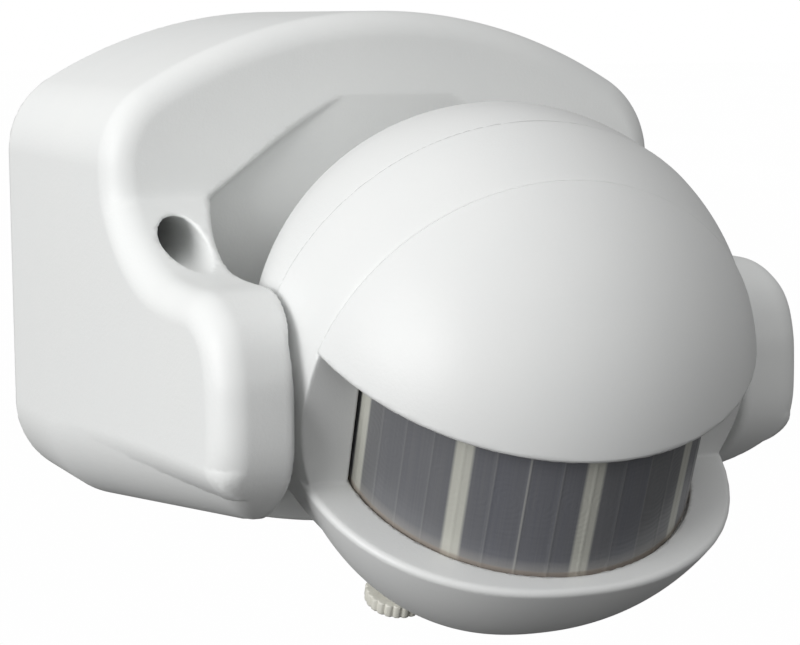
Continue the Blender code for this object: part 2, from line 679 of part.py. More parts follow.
def lens_parts():
    foot = above_ledge(-0.6)
    sheet = bent_sheet("fresnel_lens", LENS_RADIUS, LENS_THICK, foot, below_top(0.0), LENS_HALF_ANGLE, 44)
    settle(sheet, "lens_grey", head=True)

    angle = math.radians(POST_ANGLES[-1])
    frame = bent_sheet("lens_frame", FRAME_RADIUS, FRAME_THICK, above_ledge(GAP), above_ledge(1.4), angle, 36)
    join(frame, bent_sheet("top_bar", FRAME_RADIUS, FRAME_THICK, below_top(1.6), below_top(0.3), angle, 36))
    half = math.radians(POST_HALF_ANGLE)
    for degrees in POST_ANGLES:
        low, high = above_ledge(0.8), below_top(0.8)
        middle = math.radians(degrees)
        post = bent_sheet("post", FRAME_RADIUS - 0.05, FRAME_THICK - 0.1, low, high, half, 1, middle)
        join(frame, post)
    settle(frame, "frame_ivory", head=True)


def board_parts():
    outline = [
        (-21, -8), (-21, 14), (-13, 22), (13, 22), (21, 14), (21, -8), (17, -16), (-17, -16),
    ]  # fmt: skip
    settle(prism_y("circuit_board", outline, BOARD_FRONT_Y, BOARD_BACK_Y), "board_green", head=True)

    front = BOARD_FRONT_Y - GAP
    back = BOARD_BACK_Y + GAP
    settle(rod("sensor_holder", (0, front, 0), (0, front - 3.2, 0), 5.6), "frame_ivory", head=True)
    top = front - 3.5
    profile = ((0, 0), (4.9, 0), (4.9, 0.5), (4.1, 0.5), (4.1, 3.6), (3.7, 4.0), (0, 4.0))
    can = turned("pir_sensor", profile, (0, top, 0), (0, -1, 0), 24)
    cut(can, box("window", (-2.0, top - 5.0, -1.5), (2.0, top - 3.7, 1.5)))
    settle(can, "steel", head=True)

    relay = box("relay", (-15.0, back, -1.0), (4.0, back + 15.0, 14.0))
    settle(bevel(relay, 0.5, 1, 60.0), "relay_blue", head=True)
    film = box("film_capacitor", (-15.0, back, -13.0), (3.0, back + 10.5, -6.5))
    settle(bevel(film, 0.8, 2, 60.0), "film_yellow", head=True)
    cans = (("electrolytic_1", 12.0, 7.5, 5.0, 14.0), ("electrolytic_2", 11.5, -6.5, 3.2, 11.0))
    for name, x, z, radius, height in cans:
        profile = (
            (0, 0), (radius - 0.4, 0), (radius, 0.5), (radius, 1.6), (radius - 0.3, 2.0), (radius, 2.4),
            (radius, height - 0.4), (radius - 0.4, height), (0, height),
        )  # fmt: skip
        settle(turned(name, profile, (x, back, z), (0, 1, 0), 20), "sleeve_black", head=True)
    settle(box("control_chip", (-9.6, front - 2.2, 14.8), (9.6, front, 21.0)), "chip_black", head=True)

    cell = rod("light_cell", (10.0, front, -7.0), (10.0, front - 2.1, -7.0), 2.5)
    settle(cell, "cell_tan", head=True)
    profile = ((0, 0), (2.9, 0), (2.9, 1.0), (2.5, 1.0), (2.5, 4.6), (2.1, 6.0), (1.2, 6.9), (0, 7.2))
    settle(turned("status_lamp", profile, (-10.0, front, -7.0), (0, -1, 0), 20), "lamp_red", head=True)


def knob_parts():
    front = BOARD_FRONT_Y - GAP
    for i, word in enumerate(KNOB_NAMES):
        x = (i - 1) * KNOB_PITCH
        trimmer = box(f"trimmer_{word}", (x - 3.0, KNOB_Y - 2.8, -22.4), (x + 3.0, front, -16.4))
        settle(trimmer, "trimmer_blue", head=True)
        rise = -22.7 - KNOB_BOTTOM_Z
        cap = KNOB_TOP_Z - KNOB_BOTTOM_Z
        rim = ((0, 0), (KNOB_RADIUS - 0.4, 0), (KNOB_RADIUS, 0.4), (KNOB_RADIUS, cap))
        profile = rim + ((2.0, cap), (2.0, rise), (0, rise))
        origin = (x, KNOB_Y, KNOB_BOTTOM_Z)
        knob = turned(f"knob_{word}", profile, origin, (0, 0, 1), 24)
        slot_low = (x - KNOB_RADIUS + 0.9, KNOB_Y - 0.55, KNOB_BOTTOM_Z - 1.0)
        cut(knob, box("slot", slot_low, (x + KNOB_RADIUS - 0.9, KNOB_Y + 0.55, KNOB_BOTTOM_Z + 0.9)))
        settle(knob, "frame_ivory", head=True, origin=origin)


def lead(name, points, colour, head=False):
    """A round insulated lead along a smooth line of points."""
    curve = bpy.data.curves.new(name, "CURVE")
    curve.dimensions = "3D"
    curve.bevel_depth = LEAD_RADIUS
    curve.bevel_resolution = 1
    curve.use_fill_caps = True
    curve.resolution_u = 3
    line = curve.splines.new("NURBS")
    line.points.add(len(points) - 1)
    for spot, point in zip(line.points, points):
        spot.co = (*point, 1.0)
    line.order_u = 3
    line.use_endpoint_u = True
    drawn = bpy.data.objects.new("drawn", curve)
    bpy.context.scene.collection.objects.link(drawn)
    graph = bpy.context.evaluated_depsgraph_get()
    mesh = bpy.data.meshes.new_from_object(drawn.evaluated_get(graph))
    bpy.data.objects.remove(drawn, do_unlink=True)
    vertices = [vertex.co[:] for vertex in mesh.vertices]
    faces = [list(polygon.vertices) for polygon in mesh.polygons]
    made = shape(name, vertices, faces)
    return settle(made, colour, head)


def leads():
    spread = 1.15
    to_head = HEAD_POSE.inverted()
    runs = (  # height in the cheek, distance out in the cheek, place in the pivot bore (y, z)
        (1.8, -37.2, (0.0, spread)),
        (0.0, -38.5, (-spread * 0.87, -spread / 2)),
        (-1.8, -37.2, (spread * 0.87, -spread / 2)),
    )
    for word, terminal_x, (height, out_x, (bore_y, bore_z)) in zip(LEAD_NAMES, LEAD_TERMINAL_X, runs):
        y = PIVOT[1] + bore_y
        points = [
            (terminal_x, -29.6, 15.0), (terminal_x, -29.6, 9.0), (terminal_x, -29.6, height + 4.5),
            (terminal_x - 5.0, -29.6, height + 4.5), (-28.0, -29.6, height + 2.0), (-36.0, -33.0, height),
            (-36.5, -42.0, height), (out_x, -56.0, height), (out_x, -65.5, height), (out_x, y, bore_z),
            (out_x + 0.2, y, bore_z), (-36.5, y, bore_z),
        ]  # fmt: skip
        lead(f"lead_{word}_base", points, f"lead_{word}")
        points = [to_head @ Vector((x, bore_y, bore_z)) for x in (-35.9, -30.0, -25.0)]
        rise = points[2].z * 1.6
        points += [(-22.6, points[2].y + 5.0, rise), (-21.6, 6.5, rise), (-18.0, 6.5, rise)]
        points += [(-18.0, 3.0, rise), (-18.0, BOARD_BACK_Y + GAP, rise)]
        lead(f"lead_{word}_head", points, f"lead_{word}", head=True)


def head_screws():
    for i, (x, z) in enumerate(HEAD_SCREWS):
        screw(f"head_screw_{i + 1}", (x, 9.0, z), (0, -1, 0), 2.4, 1.7, 1.3, 12.5, head=True)


clear_scene()
base_housing()
back_parts()
terminal_parts()
pivot_parts()
head_rear_shell()
head_front_shell()
hood()
lens_parts()
board_parts()
knob_parts()
leads()
head_screws()
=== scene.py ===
"""Looks of a wall-mounted infrared motion sensor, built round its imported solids.

The moulded shells are signed distance fields, so every edge has its moulded round, and they are
meshed by dual contouring. Turned and bent pieces are drawn point by point. Lengths are millimetres
until a mesh is made. The base frame is the solids' own; the head frame starts on the tilt axis,
is turned nose-down by TILT and then aside by TURN.
"""

import itertools
import json
import math

import bmesh
import bpy
import numpy as np
from mathutils import Matrix, Vector


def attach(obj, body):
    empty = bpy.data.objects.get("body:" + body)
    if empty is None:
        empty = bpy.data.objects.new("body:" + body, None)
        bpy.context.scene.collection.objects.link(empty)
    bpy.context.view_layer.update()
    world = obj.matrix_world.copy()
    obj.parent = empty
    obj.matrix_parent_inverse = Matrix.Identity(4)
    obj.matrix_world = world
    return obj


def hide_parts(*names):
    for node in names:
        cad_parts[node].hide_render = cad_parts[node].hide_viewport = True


METRES = 0.001
PIVOT = (0.0, -69.7, 0.0)
TILT = math.radians(20.8)
TURN = math.radians(-8.0)
HEAD_POSE = Matrix.Rotation(TURN, 3, "Z") @ Matrix.Rotation(TILT, 3, "X")
AXLE = HEAD_POSE.inverted() @ Vector((1.0, 0.0, 0.0))
GAP = 0.3
SHARP_ANGLE = 32.0
CUT_REACH = 8.0

# Base housing
HALF_WIDTH = 41.5
TOP_Z = 42.2
TOP_RADIUS = 70.0
BOTTOM_Z = -28.6
BOTTOM_RADIUS = 200.0
CORNER_RADIUS = 12.0
EDGE_ROUND = 4.0
WALL = 2.2
RISE_START = 16.0
RISE_SLOPE = 0.14
RISE_FULL_X = 27.0
RISE_Z = (-6.0, -14.0)
FACE_Y = -43.2
FACE_Z = 20.0
FACE_LEAN = 0.1
CHEEK_PROFILE = (  # (y, z) down the front of a cheek: slope, top, front, underside
    (-43.35, 19.3), (-44.3, 17.8), (-45.7, 16.1), (-48.5, 13.7), (-52.6, 11.5), (-57.0, 10.2),
    (-63.4, 9.7), (-69.9, 9.5), (-74.3, 7.6), (-76.8, 4.9), (-78.2, 0.9), (-78.6, -3.0),
    (-78.6, -8.0), (-77.6, -11.5), (-75.2, -14.5), (-71.0, -17.5), (-64.0, -21.0), (-60.0, -40.0),
)  # fmt: skip
POCKET_HALF = 31.8
POCKET_SIDE = ((31.8, 4.0), (27.8, 18.0))
POCKET_APEX_Z = 37.6
POCKET_FLOOR_Y = -37.4
POCKET_FLOOR_LEAN = 0.15
RIM_INSET = 2.0
RIM_DEPTH = 3.9
LEDGE_INSET = 3.9
LEDGE_END = 6.2
PLATE_THICK = 2.1
PLATE_SCREWS = ((-32.5, 25.5), (32.5, 25.5), (-33.0, -13.5), (33.0, -13.5))
WALL_HOLE = (33.7, 13.2)
WALL_HOLE_RADIUS = 3.05
WALL_SCREW_RADIUS = 2.3
CABLE_Z = -14.0
CABLE_HOLE_RADIUS = 6.3
PLATE_SCREW_HOLE_RADIUS = 1.7
PLATE_SCREW_SINK = (3.0, 1.2)  # radius, depth
PLATE_POST_RADIUS = 2.8
WELL_TUBE_RADIUS = 4.6
TERMINAL_POST = ((10.0, 19.0), 2.4, -34.9)  # (x, z), radius, rear end
CLAMP_POST = ((8.0, -8.0), 2.6, -26.0)
POCKET_EDGE = 0.8
WELL_EDGE = 0.3
REAR_EDGE = 0.4

# Head
REAR_RADIUS = 31.0
BAND_RADIUS = 31.3
SHELL = 2.0
SEAM_HALF = 0.1
HOOD_SEMI = (31.4, 34.5, 31.4)
HOOD_WALL = 1.6
HOOD_SEAM_Y = -12.0
HOOD_EDGE_Z = 9.9
HOOD_EDGE_SLOPE = 0.154
RECESS_Y = -12.2
LEDGE_Z = -9.9
LEDGE_SLOPE = 0.115
CHIN_CENTRE = (0.0, -7.8, -0.9)
CHIN_SEMI = (29.5, 28.9, 31.1)
CHIN_POWER = 1.9
CHIN_PLAN_POWER = 2.24
LENS_AXIS_Y = -9.2
LENS_RADIUS = 22.0
LENS_THICK = 0.8
LENS_TOP_Z = 10.6
LENS_TOP_SLOPE = 0.17
LENS_HALF_ANGLE = math.radians(88.0)
POST_STEP = 40.0
POST_HALF_ANGLE = 2.8
BUSH_RADIUS = 3.4
HEAD_SCREWS = ((-24.3, -12.4), (24.3, -12.4), (0.0, 25.0))
HEAD_SCREW_SPAN = (-5.2, 9.0)
HEAD_SCREW_HOLE_RADIUS = 1.6
HEAD_SCREW_SINK_RADIUS = 2.8
BOSS_RADIUS = 3.6
PILLAR_RADIUS = 2.6
KNOB_SHAFT_HOLE_RADIUS = 2.3
KNOB_POCKET_MARGIN = 2.0
SEAM_EDGE = 0.3
HOOD_SEAM_EDGE = 0.42
HOOD_LIP_EDGE = 0.5
CHIN_RIM_EDGE = 0.7
SMALL_EDGE = 0.25
KNOBS = {"knob_lux": -13.6, "knob_sens": 0.0, "knob_time": 13.6}
KNOB_Y = -11.0
KNOB_RADIUS = 4.0
KNOB_PAD_Z = -26.9
KNOB_TOP_Z = -27.2
KNOB_BOTTOM_Z = -29.0
TRIMMER_Z = -22.7


# ---------------------------------------------------------------- distance fields
# A field takes (n, 3) points and gives n distances, negative inside the solid.


def half_space(normal, offset):
    """Everything on the inner side of the plane normal . p = offset."""
    direction = np.array(normal, float)
    direction = direction / np.linalg.norm(direction)
    return lambda p: p @ direction - offset


def plane_at(normal, point):
    direction = np.array(normal, float) / np.linalg.norm(normal)
    return half_space(direction, float(direction @ np.array(point, float)))


def slab(axis, low, high):
    return lambda p: np.maximum(low - p[:, axis], p[:, axis] - high)


def block(low, high):
    return meet(meet(slab(0, low[0], high[0]), slab(1, low[1], high[1])), slab(2, low[2], high[2]))


def sphere(radius):
    return lambda p: np.linalg.norm(p, axis=1) - radius


def oval(semi, centre=(0.0, 0.0, 0.0), power=2.0, plan_power=2.0):
    """An ellipsoid; powers other than 2 make it squarer or more pointed in height and in plan."""

    def field(p):
        q = np.abs(p - centre) / semi
        flat = (q[:, 0] ** plan_power + q[:, 1] ** plan_power) ** (1 / plan_power)
        return ((flat**power + q[:, 2] ** power) ** (1 / power) - 1) * min(semi)

    return field


def bore(axis, centre, radius, start=-200.0, end=200.0):
    """A round bar along an axis (0, 1 or 2); centre gives its place on the other two."""
    u, v = [k for k in range(3) if k != axis]

    def field(p):
        return np.hypot(p[:, u] - centre[0], p[:, v] - centre[1]) - radius

    return meet(field, slab(axis, start, end))


def slope(field, p, reach=0.02):
    """Unit direction in which the field grows fastest."""
    rise = np.empty_like(p)
    for k in range(3):
        step = np.zeros(3)
        step[k] = reach
        rise[:, k] = field(p + step) - field(p - step)
    return rise / np.maximum(np.linalg.norm(rise, axis=1, keepdims=True), 1e-12)


def meet(first, second, radius=0.0):
    """The common part of two solids, its edge rounded, whatever the angle between the two faces."""

    def field(p):
        a = first(p)
        b = second(p)
        out = np.maximum(a, b)
        near = (a > -2 * radius) & (b > -2 * radius) & (out < 3 * radius)
        if not radius or not near.any():
            return out
        q = p[near]
        cosine = np.sum(slope(first, q) * slope(second, q), axis=1).clip(-0.99, 0.999)
        u = a[near] + radius
        v = b[near] + radius
        turned = (u > cosine * v) & (v > cosine * u)
        square = (u * u + v * v - 2 * cosine * u * v) / (1 - cosine**2)
        edge = np.sqrt(np.maximum(square, 0.0)) - radius
        out[near] = np.where(turned, edge, out[near])
        return out

    return field


def flip(field):
    return lambda p: -field(p)


def grow(field, distance):
    return lambda p: field(p) - distance


def less(first, second, radius=0.0):
    return meet(first, flip(second), radius)


def unite(first, second, radius=0.0):
    return flip(meet(flip(first), flip(second), radius))


def unite_all(fields):
    return lambda p: np.minimum.reduce([field(p) for field in fields])


# ---------------------------------------------------------------- meshes


def finish_mesh(name, vertices, faces, normals=None, tilted=False):
    """An object from millimetre points; tilted ones are in the head frame."""
    vertices = np.array(vertices, float)
    if tilted:
        turn = np.array(HEAD_POSE)
        vertices = vertices @ turn.T + PIVOT
        normals = None if normals is None else normals @ turn.T
    mesh = bpy.data.meshes.new(name)
    mesh.from_pydata((vertices * METRES).tolist(), [], faces)
    mesh.shade_smooth()
    if normals is not None:
        mesh.normals_split_custom_set_from_vertices(normals.tolist())
    obj = bpy.data.objects.new(name, mesh)
    bpy.context.scene.collection.objects.link(obj)
    return obj


BLOCK = 4
SOFTNESS = 0.03


def field_values(field, low, high, step):
    """The field on a grid, worked out only in the blocks that the surface may cross."""
    count = np.ceil((high - low) / (step * BLOCK)).astype(int)
    middles = low + (np.indices(count).reshape(3, -1).T + 0.5) * step * BLOCK
    coarse = field(middles).reshape(count)
    near = np.abs(coarse) < 1.3 * math.sqrt(3) / 2 * step * BLOCK
    value = np.pad(coarse.repeat(BLOCK, 0).repeat(BLOCK, 1).repeat(BLOCK, 2), (0, 1), mode="edge")
    fine = near.repeat(BLOCK, 0).repeat(BLOCK, 1).repeat(BLOCK, 2)
    wanted = np.zeros(value.shape, bool)
    for i, j, k in itertools.product((0, 1), repeat=3):
        place = tuple(slice(o, o + size) for o, size in zip((i, j, k), fine.shape))
        wanted[place] |= fine
    value[wanted] = field(low + np.argwhere(wanted) * step)
    return value


def contour(name, field, low, high, step, tilted=False, thin=None):
    """Meshes a field by dual contouring: one vertex a cell, where its tangent planes meet.

    thin is (field of the points to keep dense, share of the other faces to keep)."""
    low = np.array(low, float)
    value = field_values(field, low, np.array(high, float), step)
    inside = value < 0
    points, rounds = [], []
    for k in range(3):
        lower = tuple(slice(None, -1) if axis == k else slice(None) for axis in range(3))
        upper = tuple(slice(1, None) if axis == k else slice(None) for axis in range(3))
        crossed = inside[lower] != inside[upper]
        spots = np.argwhere(crossed)
        start = value[lower][crossed]
        change = value[upper][crossed] - start
        crossing = low + spots * step
        share = -start / change
        crossing[:, k] += share * step
        for _ in range(2):
            error = field(crossing) / change
            new = np.clip(share - error, 0.0, 1.0)
            crossing[:, k] += (new - share) * step
            share = new
        points.append(crossing)
        side, up = np.eye(3, dtype=int)[[(k + 1) % 3, (k + 2) % 3]]
        cells = np.stack([spots, spots - side, spots - side - up, spots - up], 1)
        outward = start < 0
        cells[~outward] = cells[~outward][:, ::-1]
        rounds.append(np.ravel_multi_index(np.moveaxis(cells, -1, 0), value.shape))
    points = np.concatenate(points)
    normals = slope(field, points)
    ids, owner = np.unique(np.concatenate(rounds), return_inverse=True)
    faces = owner.reshape(-1, 4)
    owner = owner.reshape(-1)
    planes = normals.repeat(4, 0)
    spread = points.repeat(4, 0)
    count = np.bincount(owner)
    middle = np.stack([np.bincount(owner, spread[:, i]) for i in range(3)], 1) / count[:, None]
    height = np.sum(planes * (spread - middle[owner]), 1)
    right = np.stack([np.bincount(owner, planes[:, i] * height) for i in range(3)], 1)
    matrix = np.empty((len(ids), 3, 3))
    for i, j in itertools.product(range(3), repeat=2):
        matrix[:, i, j] = np.bincount(owner, planes[:, i] * planes[:, j])
    matrix += SOFTNESS * count[:, None, None] * np.eye(3)
    shift = np.linalg.solve(matrix, right[:, :, None])[:, :, 0]
    corner = low + np.stack(np.unravel_index(ids, value.shape), 1) * step
    vertices = np.clip(middle + shift, corner, corner + step)
    if thin:
        vertices, faces = thinned(vertices, faces, *thin)
    shaded = slope(field, vertices, 0.06)
    if not isinstance(faces, list):
        faces = faces.tolist()
    return finish_mesh(name, vertices, faces, shaded, tilted)


def thinned(vertices, faces, keep_field, share):
    """Fewer faces wherever keep_field is positive, the rest left as they are."""
    draft = finish_mesh("draft", vertices, faces.tolist())
    group = draft.vertex_groups.new(name="thin")
    hidden = np.nonzero(keep_field(vertices) > 0)[0]
    group.add(hidden.tolist(), 1.0, "REPLACE")
    modifier = draft.modifiers.new("thin", "DECIMATE")
    touched = np.isin(faces, hidden).all(axis=1).sum() / len(faces)
    modifier.ratio = 1 - touched * (1 - share)
    modifier.vertex_group = "thin"
    graph = bpy.context.evaluated_depsgraph_get()
    mesh = bpy.data.meshes.new_from_object(draft.evaluated_get(graph))
    points = np.empty(len(mesh.vertices) * 3, np.float32)
    mesh.vertices.foreach_get("co", points)
    polygons = [list(polygon.vertices) for polygon in mesh.polygons]
    bpy.data.objects.remove(draft, do_unlink=True)
    bpy.data.meshes.remove(mesh)
    return points.reshape(-1, 3).astype(float) / METRES, polygons


def arc(centre, radius, start, end, count):
    """Points on an arc in a plane, angles in degrees, both ends included."""
    angles = np.radians(np.linspace(start, end, count))
    return [(centre[0] + radius * math.cos(a), centre[1] + radius * math.sin(a)) for a in angles]


def turned(name, profile, origin, axis, segments=96, closed=False, flute=None, tilted=False):
    """A profile of (radius, height) points turned about an axis; flute changes a radius by angle."""
    turn = Vector((0, 0, 1)).rotation_difference(Vector(axis)).to_matrix().to_4x4()
    place = Matrix.Translation(origin) @ turn
    vertices, loops, faces = [], [], []
    for radius, height in profile:
        count = segments if radius > 0 else 1
        loops.append([len(vertices) + i % count for i in range(segments)])
        for i in range(count):
            angle = 2 * math.pi * i / segments
            reach = flute(radius, height, angle) if flute else radius
            vertices.append(place @ Vector((reach * math.cos(angle), reach * math.sin(angle), height)))
    pairs = list(zip(loops, loops[1:]))
    if closed:
        pairs.append((loops[-1], loops[0]))
    for lower, upper in pairs:
        for i in range(segments):
            j = (i + 1) % segments
            face = list(dict.fromkeys((lower[i], lower[j], upper[j], upper[i])))
            faces.append(face)
    obj = finish_mesh(name, vertices, faces, tilted=tilted)
    return crease(obj)


def crease(obj, degrees=SHARP_ANGLE):
    """Faces out, and sharp edges where the surface turns by more than an angle."""
    work = bmesh.new()
    work.from_mesh(obj.data)
    bmesh.ops.recalc_face_normals(work, faces=work.faces[:])
    work.to_mesh(obj.data)
    work.free()
    obj.data.set_sharp_from_angle(angle=math.radians(degrees))
    return obj


def cut(obj, cutter):
    """Takes one mesh away from another; the cutter is used up."""
    modifier = obj.modifiers.new("cut", "BOOLEAN")
    modifier.operation = "DIFFERENCE"
    modifier.solver = "EXACT"
    modifier.object = cutter
    graph = bpy.context.evaluated_depsgraph_get()
    mesh = bpy.data.meshes.new_from_object(obj.evaluated_get(graph))
    obj.modifiers.clear()
    obj.data = mesh
    bpy.data.objects.remove(cutter, do_unlink=True)
    obj.data.set_sharp_from_angle(angle=math.radians(SHARP_ANGLE))
    return obj


def bar(name, low, high, tilted=False):
    """A plain cutting block."""
    corners = list(itertools.product(*zip(low, high)))
    faces = [(0, 1, 3, 2), (4, 6, 7, 5), (0, 4, 5, 1), (2, 3, 7, 6), (0, 2, 6, 4), (1, 5, 7, 3)]
    return crease(finish_mesh(name, corners, faces, tilted=tilted))


def soften(obj, width, segments=2):
    """Rounds the sharp edges of a mesh a little."""
    modifier = obj.modifiers.new("edge", "BEVEL")
    modifier.width = width * METRES
    modifier.segments = segments
    modifier.limit_method = "ANGLE"
    modifier.angle_limit = math.radians(40)
    modifier.harden_normals = True
    return obj


# ---------------------------------------------------------------- base


def outline(p):
    """The housing seen from the front: two straight sides, a wide top arc, a flat bottom arc."""
    x = np.abs(p[:, 0])
    share = np.clip((p[:, 2] - RISE_Z[0]) / (RISE_Z[1] - RISE_Z[0]), 0.0, 1.0)
    rise = RISE_SLOPE * np.maximum(0.0, -p[:, 1] - RISE_START)
    z = p[:, 2] - share * rise * np.minimum(1.0, x / RISE_FULL_X) ** 2
    corner_x = HALF_WIDTH - CORNER_RADIUS
    out = x - corner_x
    for centre_z, radius, way in (
        (TOP_Z - TOP_RADIUS, TOP_RADIUS - CORNER_RADIUS, 1),
        (BOTTOM_Z + BOTTOM_RADIUS, BOTTOM_RADIUS - CORNER_RADIUS, -1),
    ):
        corner_z = centre_z + way * math.sqrt(radius**2 - corner_x**2)
        lean = corner_x / (way * (corner_z - centre_z))
        up = way * (z - corner_z)
        right = x - corner_x
        arc_side = np.hypot(x, z - centre_z) - radius
        in_corner = (up > 0) & (right > lean * up)
        beside = np.where(up > -9, arc_side, -99.0)
        out = np.where(in_corner, np.hypot(right, up), np.maximum(out, beside))
    return out - CORNER_RADIUS


def face_y(z):
    return FACE_Y + FACE_LEAN * (z - FACE_Z)


def smooth_line(points, parts=8):
    """A Catmull-Rom curve through points."""
    points = np.array(points)
    before = 2 * points[0] - points[1]
    after = 2 * points[-1] - points[-2]
    points = np.vstack([before, points, after])
    out = []
    for a, b, c, d in zip(points, points[1:], points[2:], points[3:]):
        square = 2 * a - 5 * b + 4 * c - d
        cube = 3 * b - a - 3 * c + d
        for t in np.arange(parts) / parts:
            out.append(0.5 * (2 * b + (c - a) * t + square * t**2 + cube * t**3))
    out.append(points[-2])
    return np.array(out)


HOUSING_STEP = 0.56
SIDE_LOW = np.array((-86.0, -44.0))
SIDE_HIGH = np.array((6.0, 52.0))
SIDE_STEP = 0.2


def side_table():
    """Signed distance to the front line of the housing seen from the side, on a (y, z) grid."""
    face = [(face_y(z), z) for z in (70.0, 55.0, 40.0, 30.0, 24.0)]
    line = smooth_line(face + list(CHEEK_PROFILE) + [(-56.0, -60.0)])
    axes = [np.arange(SIDE_LOW[k], SIDE_HIGH[k], SIDE_STEP) for k in range(2)]
    y, z = np.meshgrid(*axes, indexing="ij")
    best = np.full(y.shape, 1e9)
    inside = np.zeros(y.shape, bool)
    for (y0, z0), (y1, z1) in zip(line, line[1:]):
        run, drop = y1 - y0, z1 - z0
        along = np.clip(((y - y0) * run + (z - z0) * drop) / (run**2 + drop**2), 0.0, 1.0)
        best = np.minimum(best, (y - y0 - along * run) ** 2 + (z - z0 - along * drop) ** 2)
        beside = (z0 > z) != (z1 > z)
        cross = y0 + (z - z0) * run / (drop or 1e-9)
        inside ^= beside & (cross < y)
    return np.where(inside, -1.0, 1.0) * np.sqrt(best)


SIDE = side_table()


def side(p):
    """Distance from the front line, read off the table."""
    spot = (p[:, 1:] - SIDE_LOW) / SIDE_STEP
    spot = np.clip(spot, 0, np.array(SIDE.shape) - 1.001)
    i, j = spot.astype(int).T
    u, v = (spot - spot.astype(int)).T
    near = SIDE[i, j] * (1 - v) + SIDE[i, j + 1] * v
    far = SIDE[i + 1, j] * (1 - v) + SIDE[i + 1, j + 1] * v
    return near * (1 - u) + far * u


def mirrored(field):
    """The field with x folded to the right-hand side."""

    def both(p):
        q = p.copy()
        q[:, 0] = np.abs(q[:, 0])
        return field(q)

    return both


def pocket():
    """The hollow between the cheeks, in which the ball sits."""
    (x0, z0), (x1, z1) = POCKET_SIDE
    lower = half_space((1, 0, 0), POCKET_HALF)
    middle = plane_at((z1 - z0, 0, x0 - x1), (x0, 0, z0))
    upper = plane_at((POCKET_APEX_Z - z1, 0, x1), (x1, 0, z1))
    right = meet(meet(lower, middle, 5.0), upper, 1.2)
    floor = half_space((0, 1, 0), POCKET_FLOOR_Y)
    leaning = plane_at((0, 1, POCKET_FLOOR_LEAN), (0, POCKET_FLOOR_Y, 0))
    return meet(mirrored(right), meet(floor, leaning, 6.0), 1.2)


def cavity(outside, hollow):
    """The inside of the housing, with its rear opening and its screw posts and tubes taken off."""
    room = less(grow(outside, -WALL), grow(hollow, WALL))
    room = meet(room, half_space((0, 1, 0), -LEDGE_END + 1.0))
    ledge = meet(grow(outline, -LEDGE_INSET), slab(1, -LEDGE_END - 2.0, 2.0))
    rim = meet(grow(outline, -RIM_INSET), slab(1, -RIM_DEPTH, 3.0))
    rear = -RIM_DEPTH - 0.2
    posts = [bore(1, spot, PLATE_POST_RADIUS, -60.0, rear) for spot in PLATE_SCREWS]
    for way in (-1, 1):
        posts.append(bore(1, (way * WALL_HOLE[0], WALL_HOLE[1]), WELL_TUBE_RADIUS, -90.0, rear))
        for (x, z), radius, end in (TERMINAL_POST, CLAMP_POST):
            posts.append(bore(1, (way * x, z), radius, -50.0, end))
    return unite(less(unite(room, ledge), unite_all(posts)), rim)


def housing():
    hollow = pocket()
    outside = meet(meet(outline, side, EDGE_ROUND), half_space((0, 1, 0), 0.0), REAR_EDGE)
    body = less(outside, hollow, POCKET_EDGE)
    wells = []
    for way in (-1, 1):
        place = (way * WALL_HOLE[0], WALL_HOLE[1])
        wells.append(bore(1, place, WALL_HOLE_RADIUS, -90.0, -6.0))
        wells.append(bore(1, place, WALL_SCREW_RADIUS, -20.0, 9.0))
        wells.append(bore(0, PIVOT[1:], BUSH_RADIUS + GAP, *sorted((way * 28.0, way * 36.0))))
    wells += [bore(1, spot, PLATE_SCREW_HOLE_RADIUS, -14.0, 1.0) for spot in PLATE_SCREWS]
    body = less(body, unite_all(wells), WELL_EDGE)
    body = less(body, cavity(outside, hollow))
    margin = 2.0
    front = min(y for y, z in CHEEK_PROFILE)
    low = (-HALF_WIDTH - margin, front - margin, BOTTOM_Z - margin)
    high = (HALF_WIDTH + margin, margin, TOP_Z + margin)
    hidden = meet(grow(outside, -1.0), half_space((0, 1, 0), -1.0))
    hidden = less(hidden, grow(hollow, 1.0))
    obj = contour("housing", body, low, high, HOUSING_STEP, thin=(flip(hidden), 0.1))
    return place_piece(obj, "base", "housing_white", "base_housing")


def place_piece(obj, body, slot, *nodes):
    obj.data.materials.append(MATERIALS[slot])
    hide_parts(*nodes)
    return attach(obj, body)


def plate_outline(inset, parts=14):
    """(x, z) points round the housing outline, drawn in by an inset."""
    corner_x = HALF_WIDTH - CORNER_RADIUS
    low_z = BOTTOM_Z + BOTTOM_RADIUS
    low_reach = BOTTOM_RADIUS - CORNER_RADIUS
    high_z = TOP_Z - TOP_RADIUS
    high_reach = TOP_RADIUS - CORNER_RADIUS
    low_corner = (corner_x, low_z - math.sqrt(low_reach**2 - corner_x**2))
    high_corner = (corner_x, high_z + math.sqrt(high_reach**2 - corner_x**2))
    low_angle = math.degrees(math.asin(corner_x / low_reach)) - 90
    high_angle = math.degrees(math.acos(corner_x / high_reach))
    half = arc((0.0, low_z), BOTTOM_RADIUS - inset, -90, low_angle, parts)
    half += arc(low_corner, CORNER_RADIUS - inset, low_angle, 0, parts)[1:]
    half += arc(high_corner, CORNER_RADIUS - inset, 0, high_angle, parts)
    half += arc((0.0, high_z), TOP_RADIUS - inset, high_angle, 90, parts)[1:]
    return half + [(-x, z) for x, z in reversed(half[1:-1])]


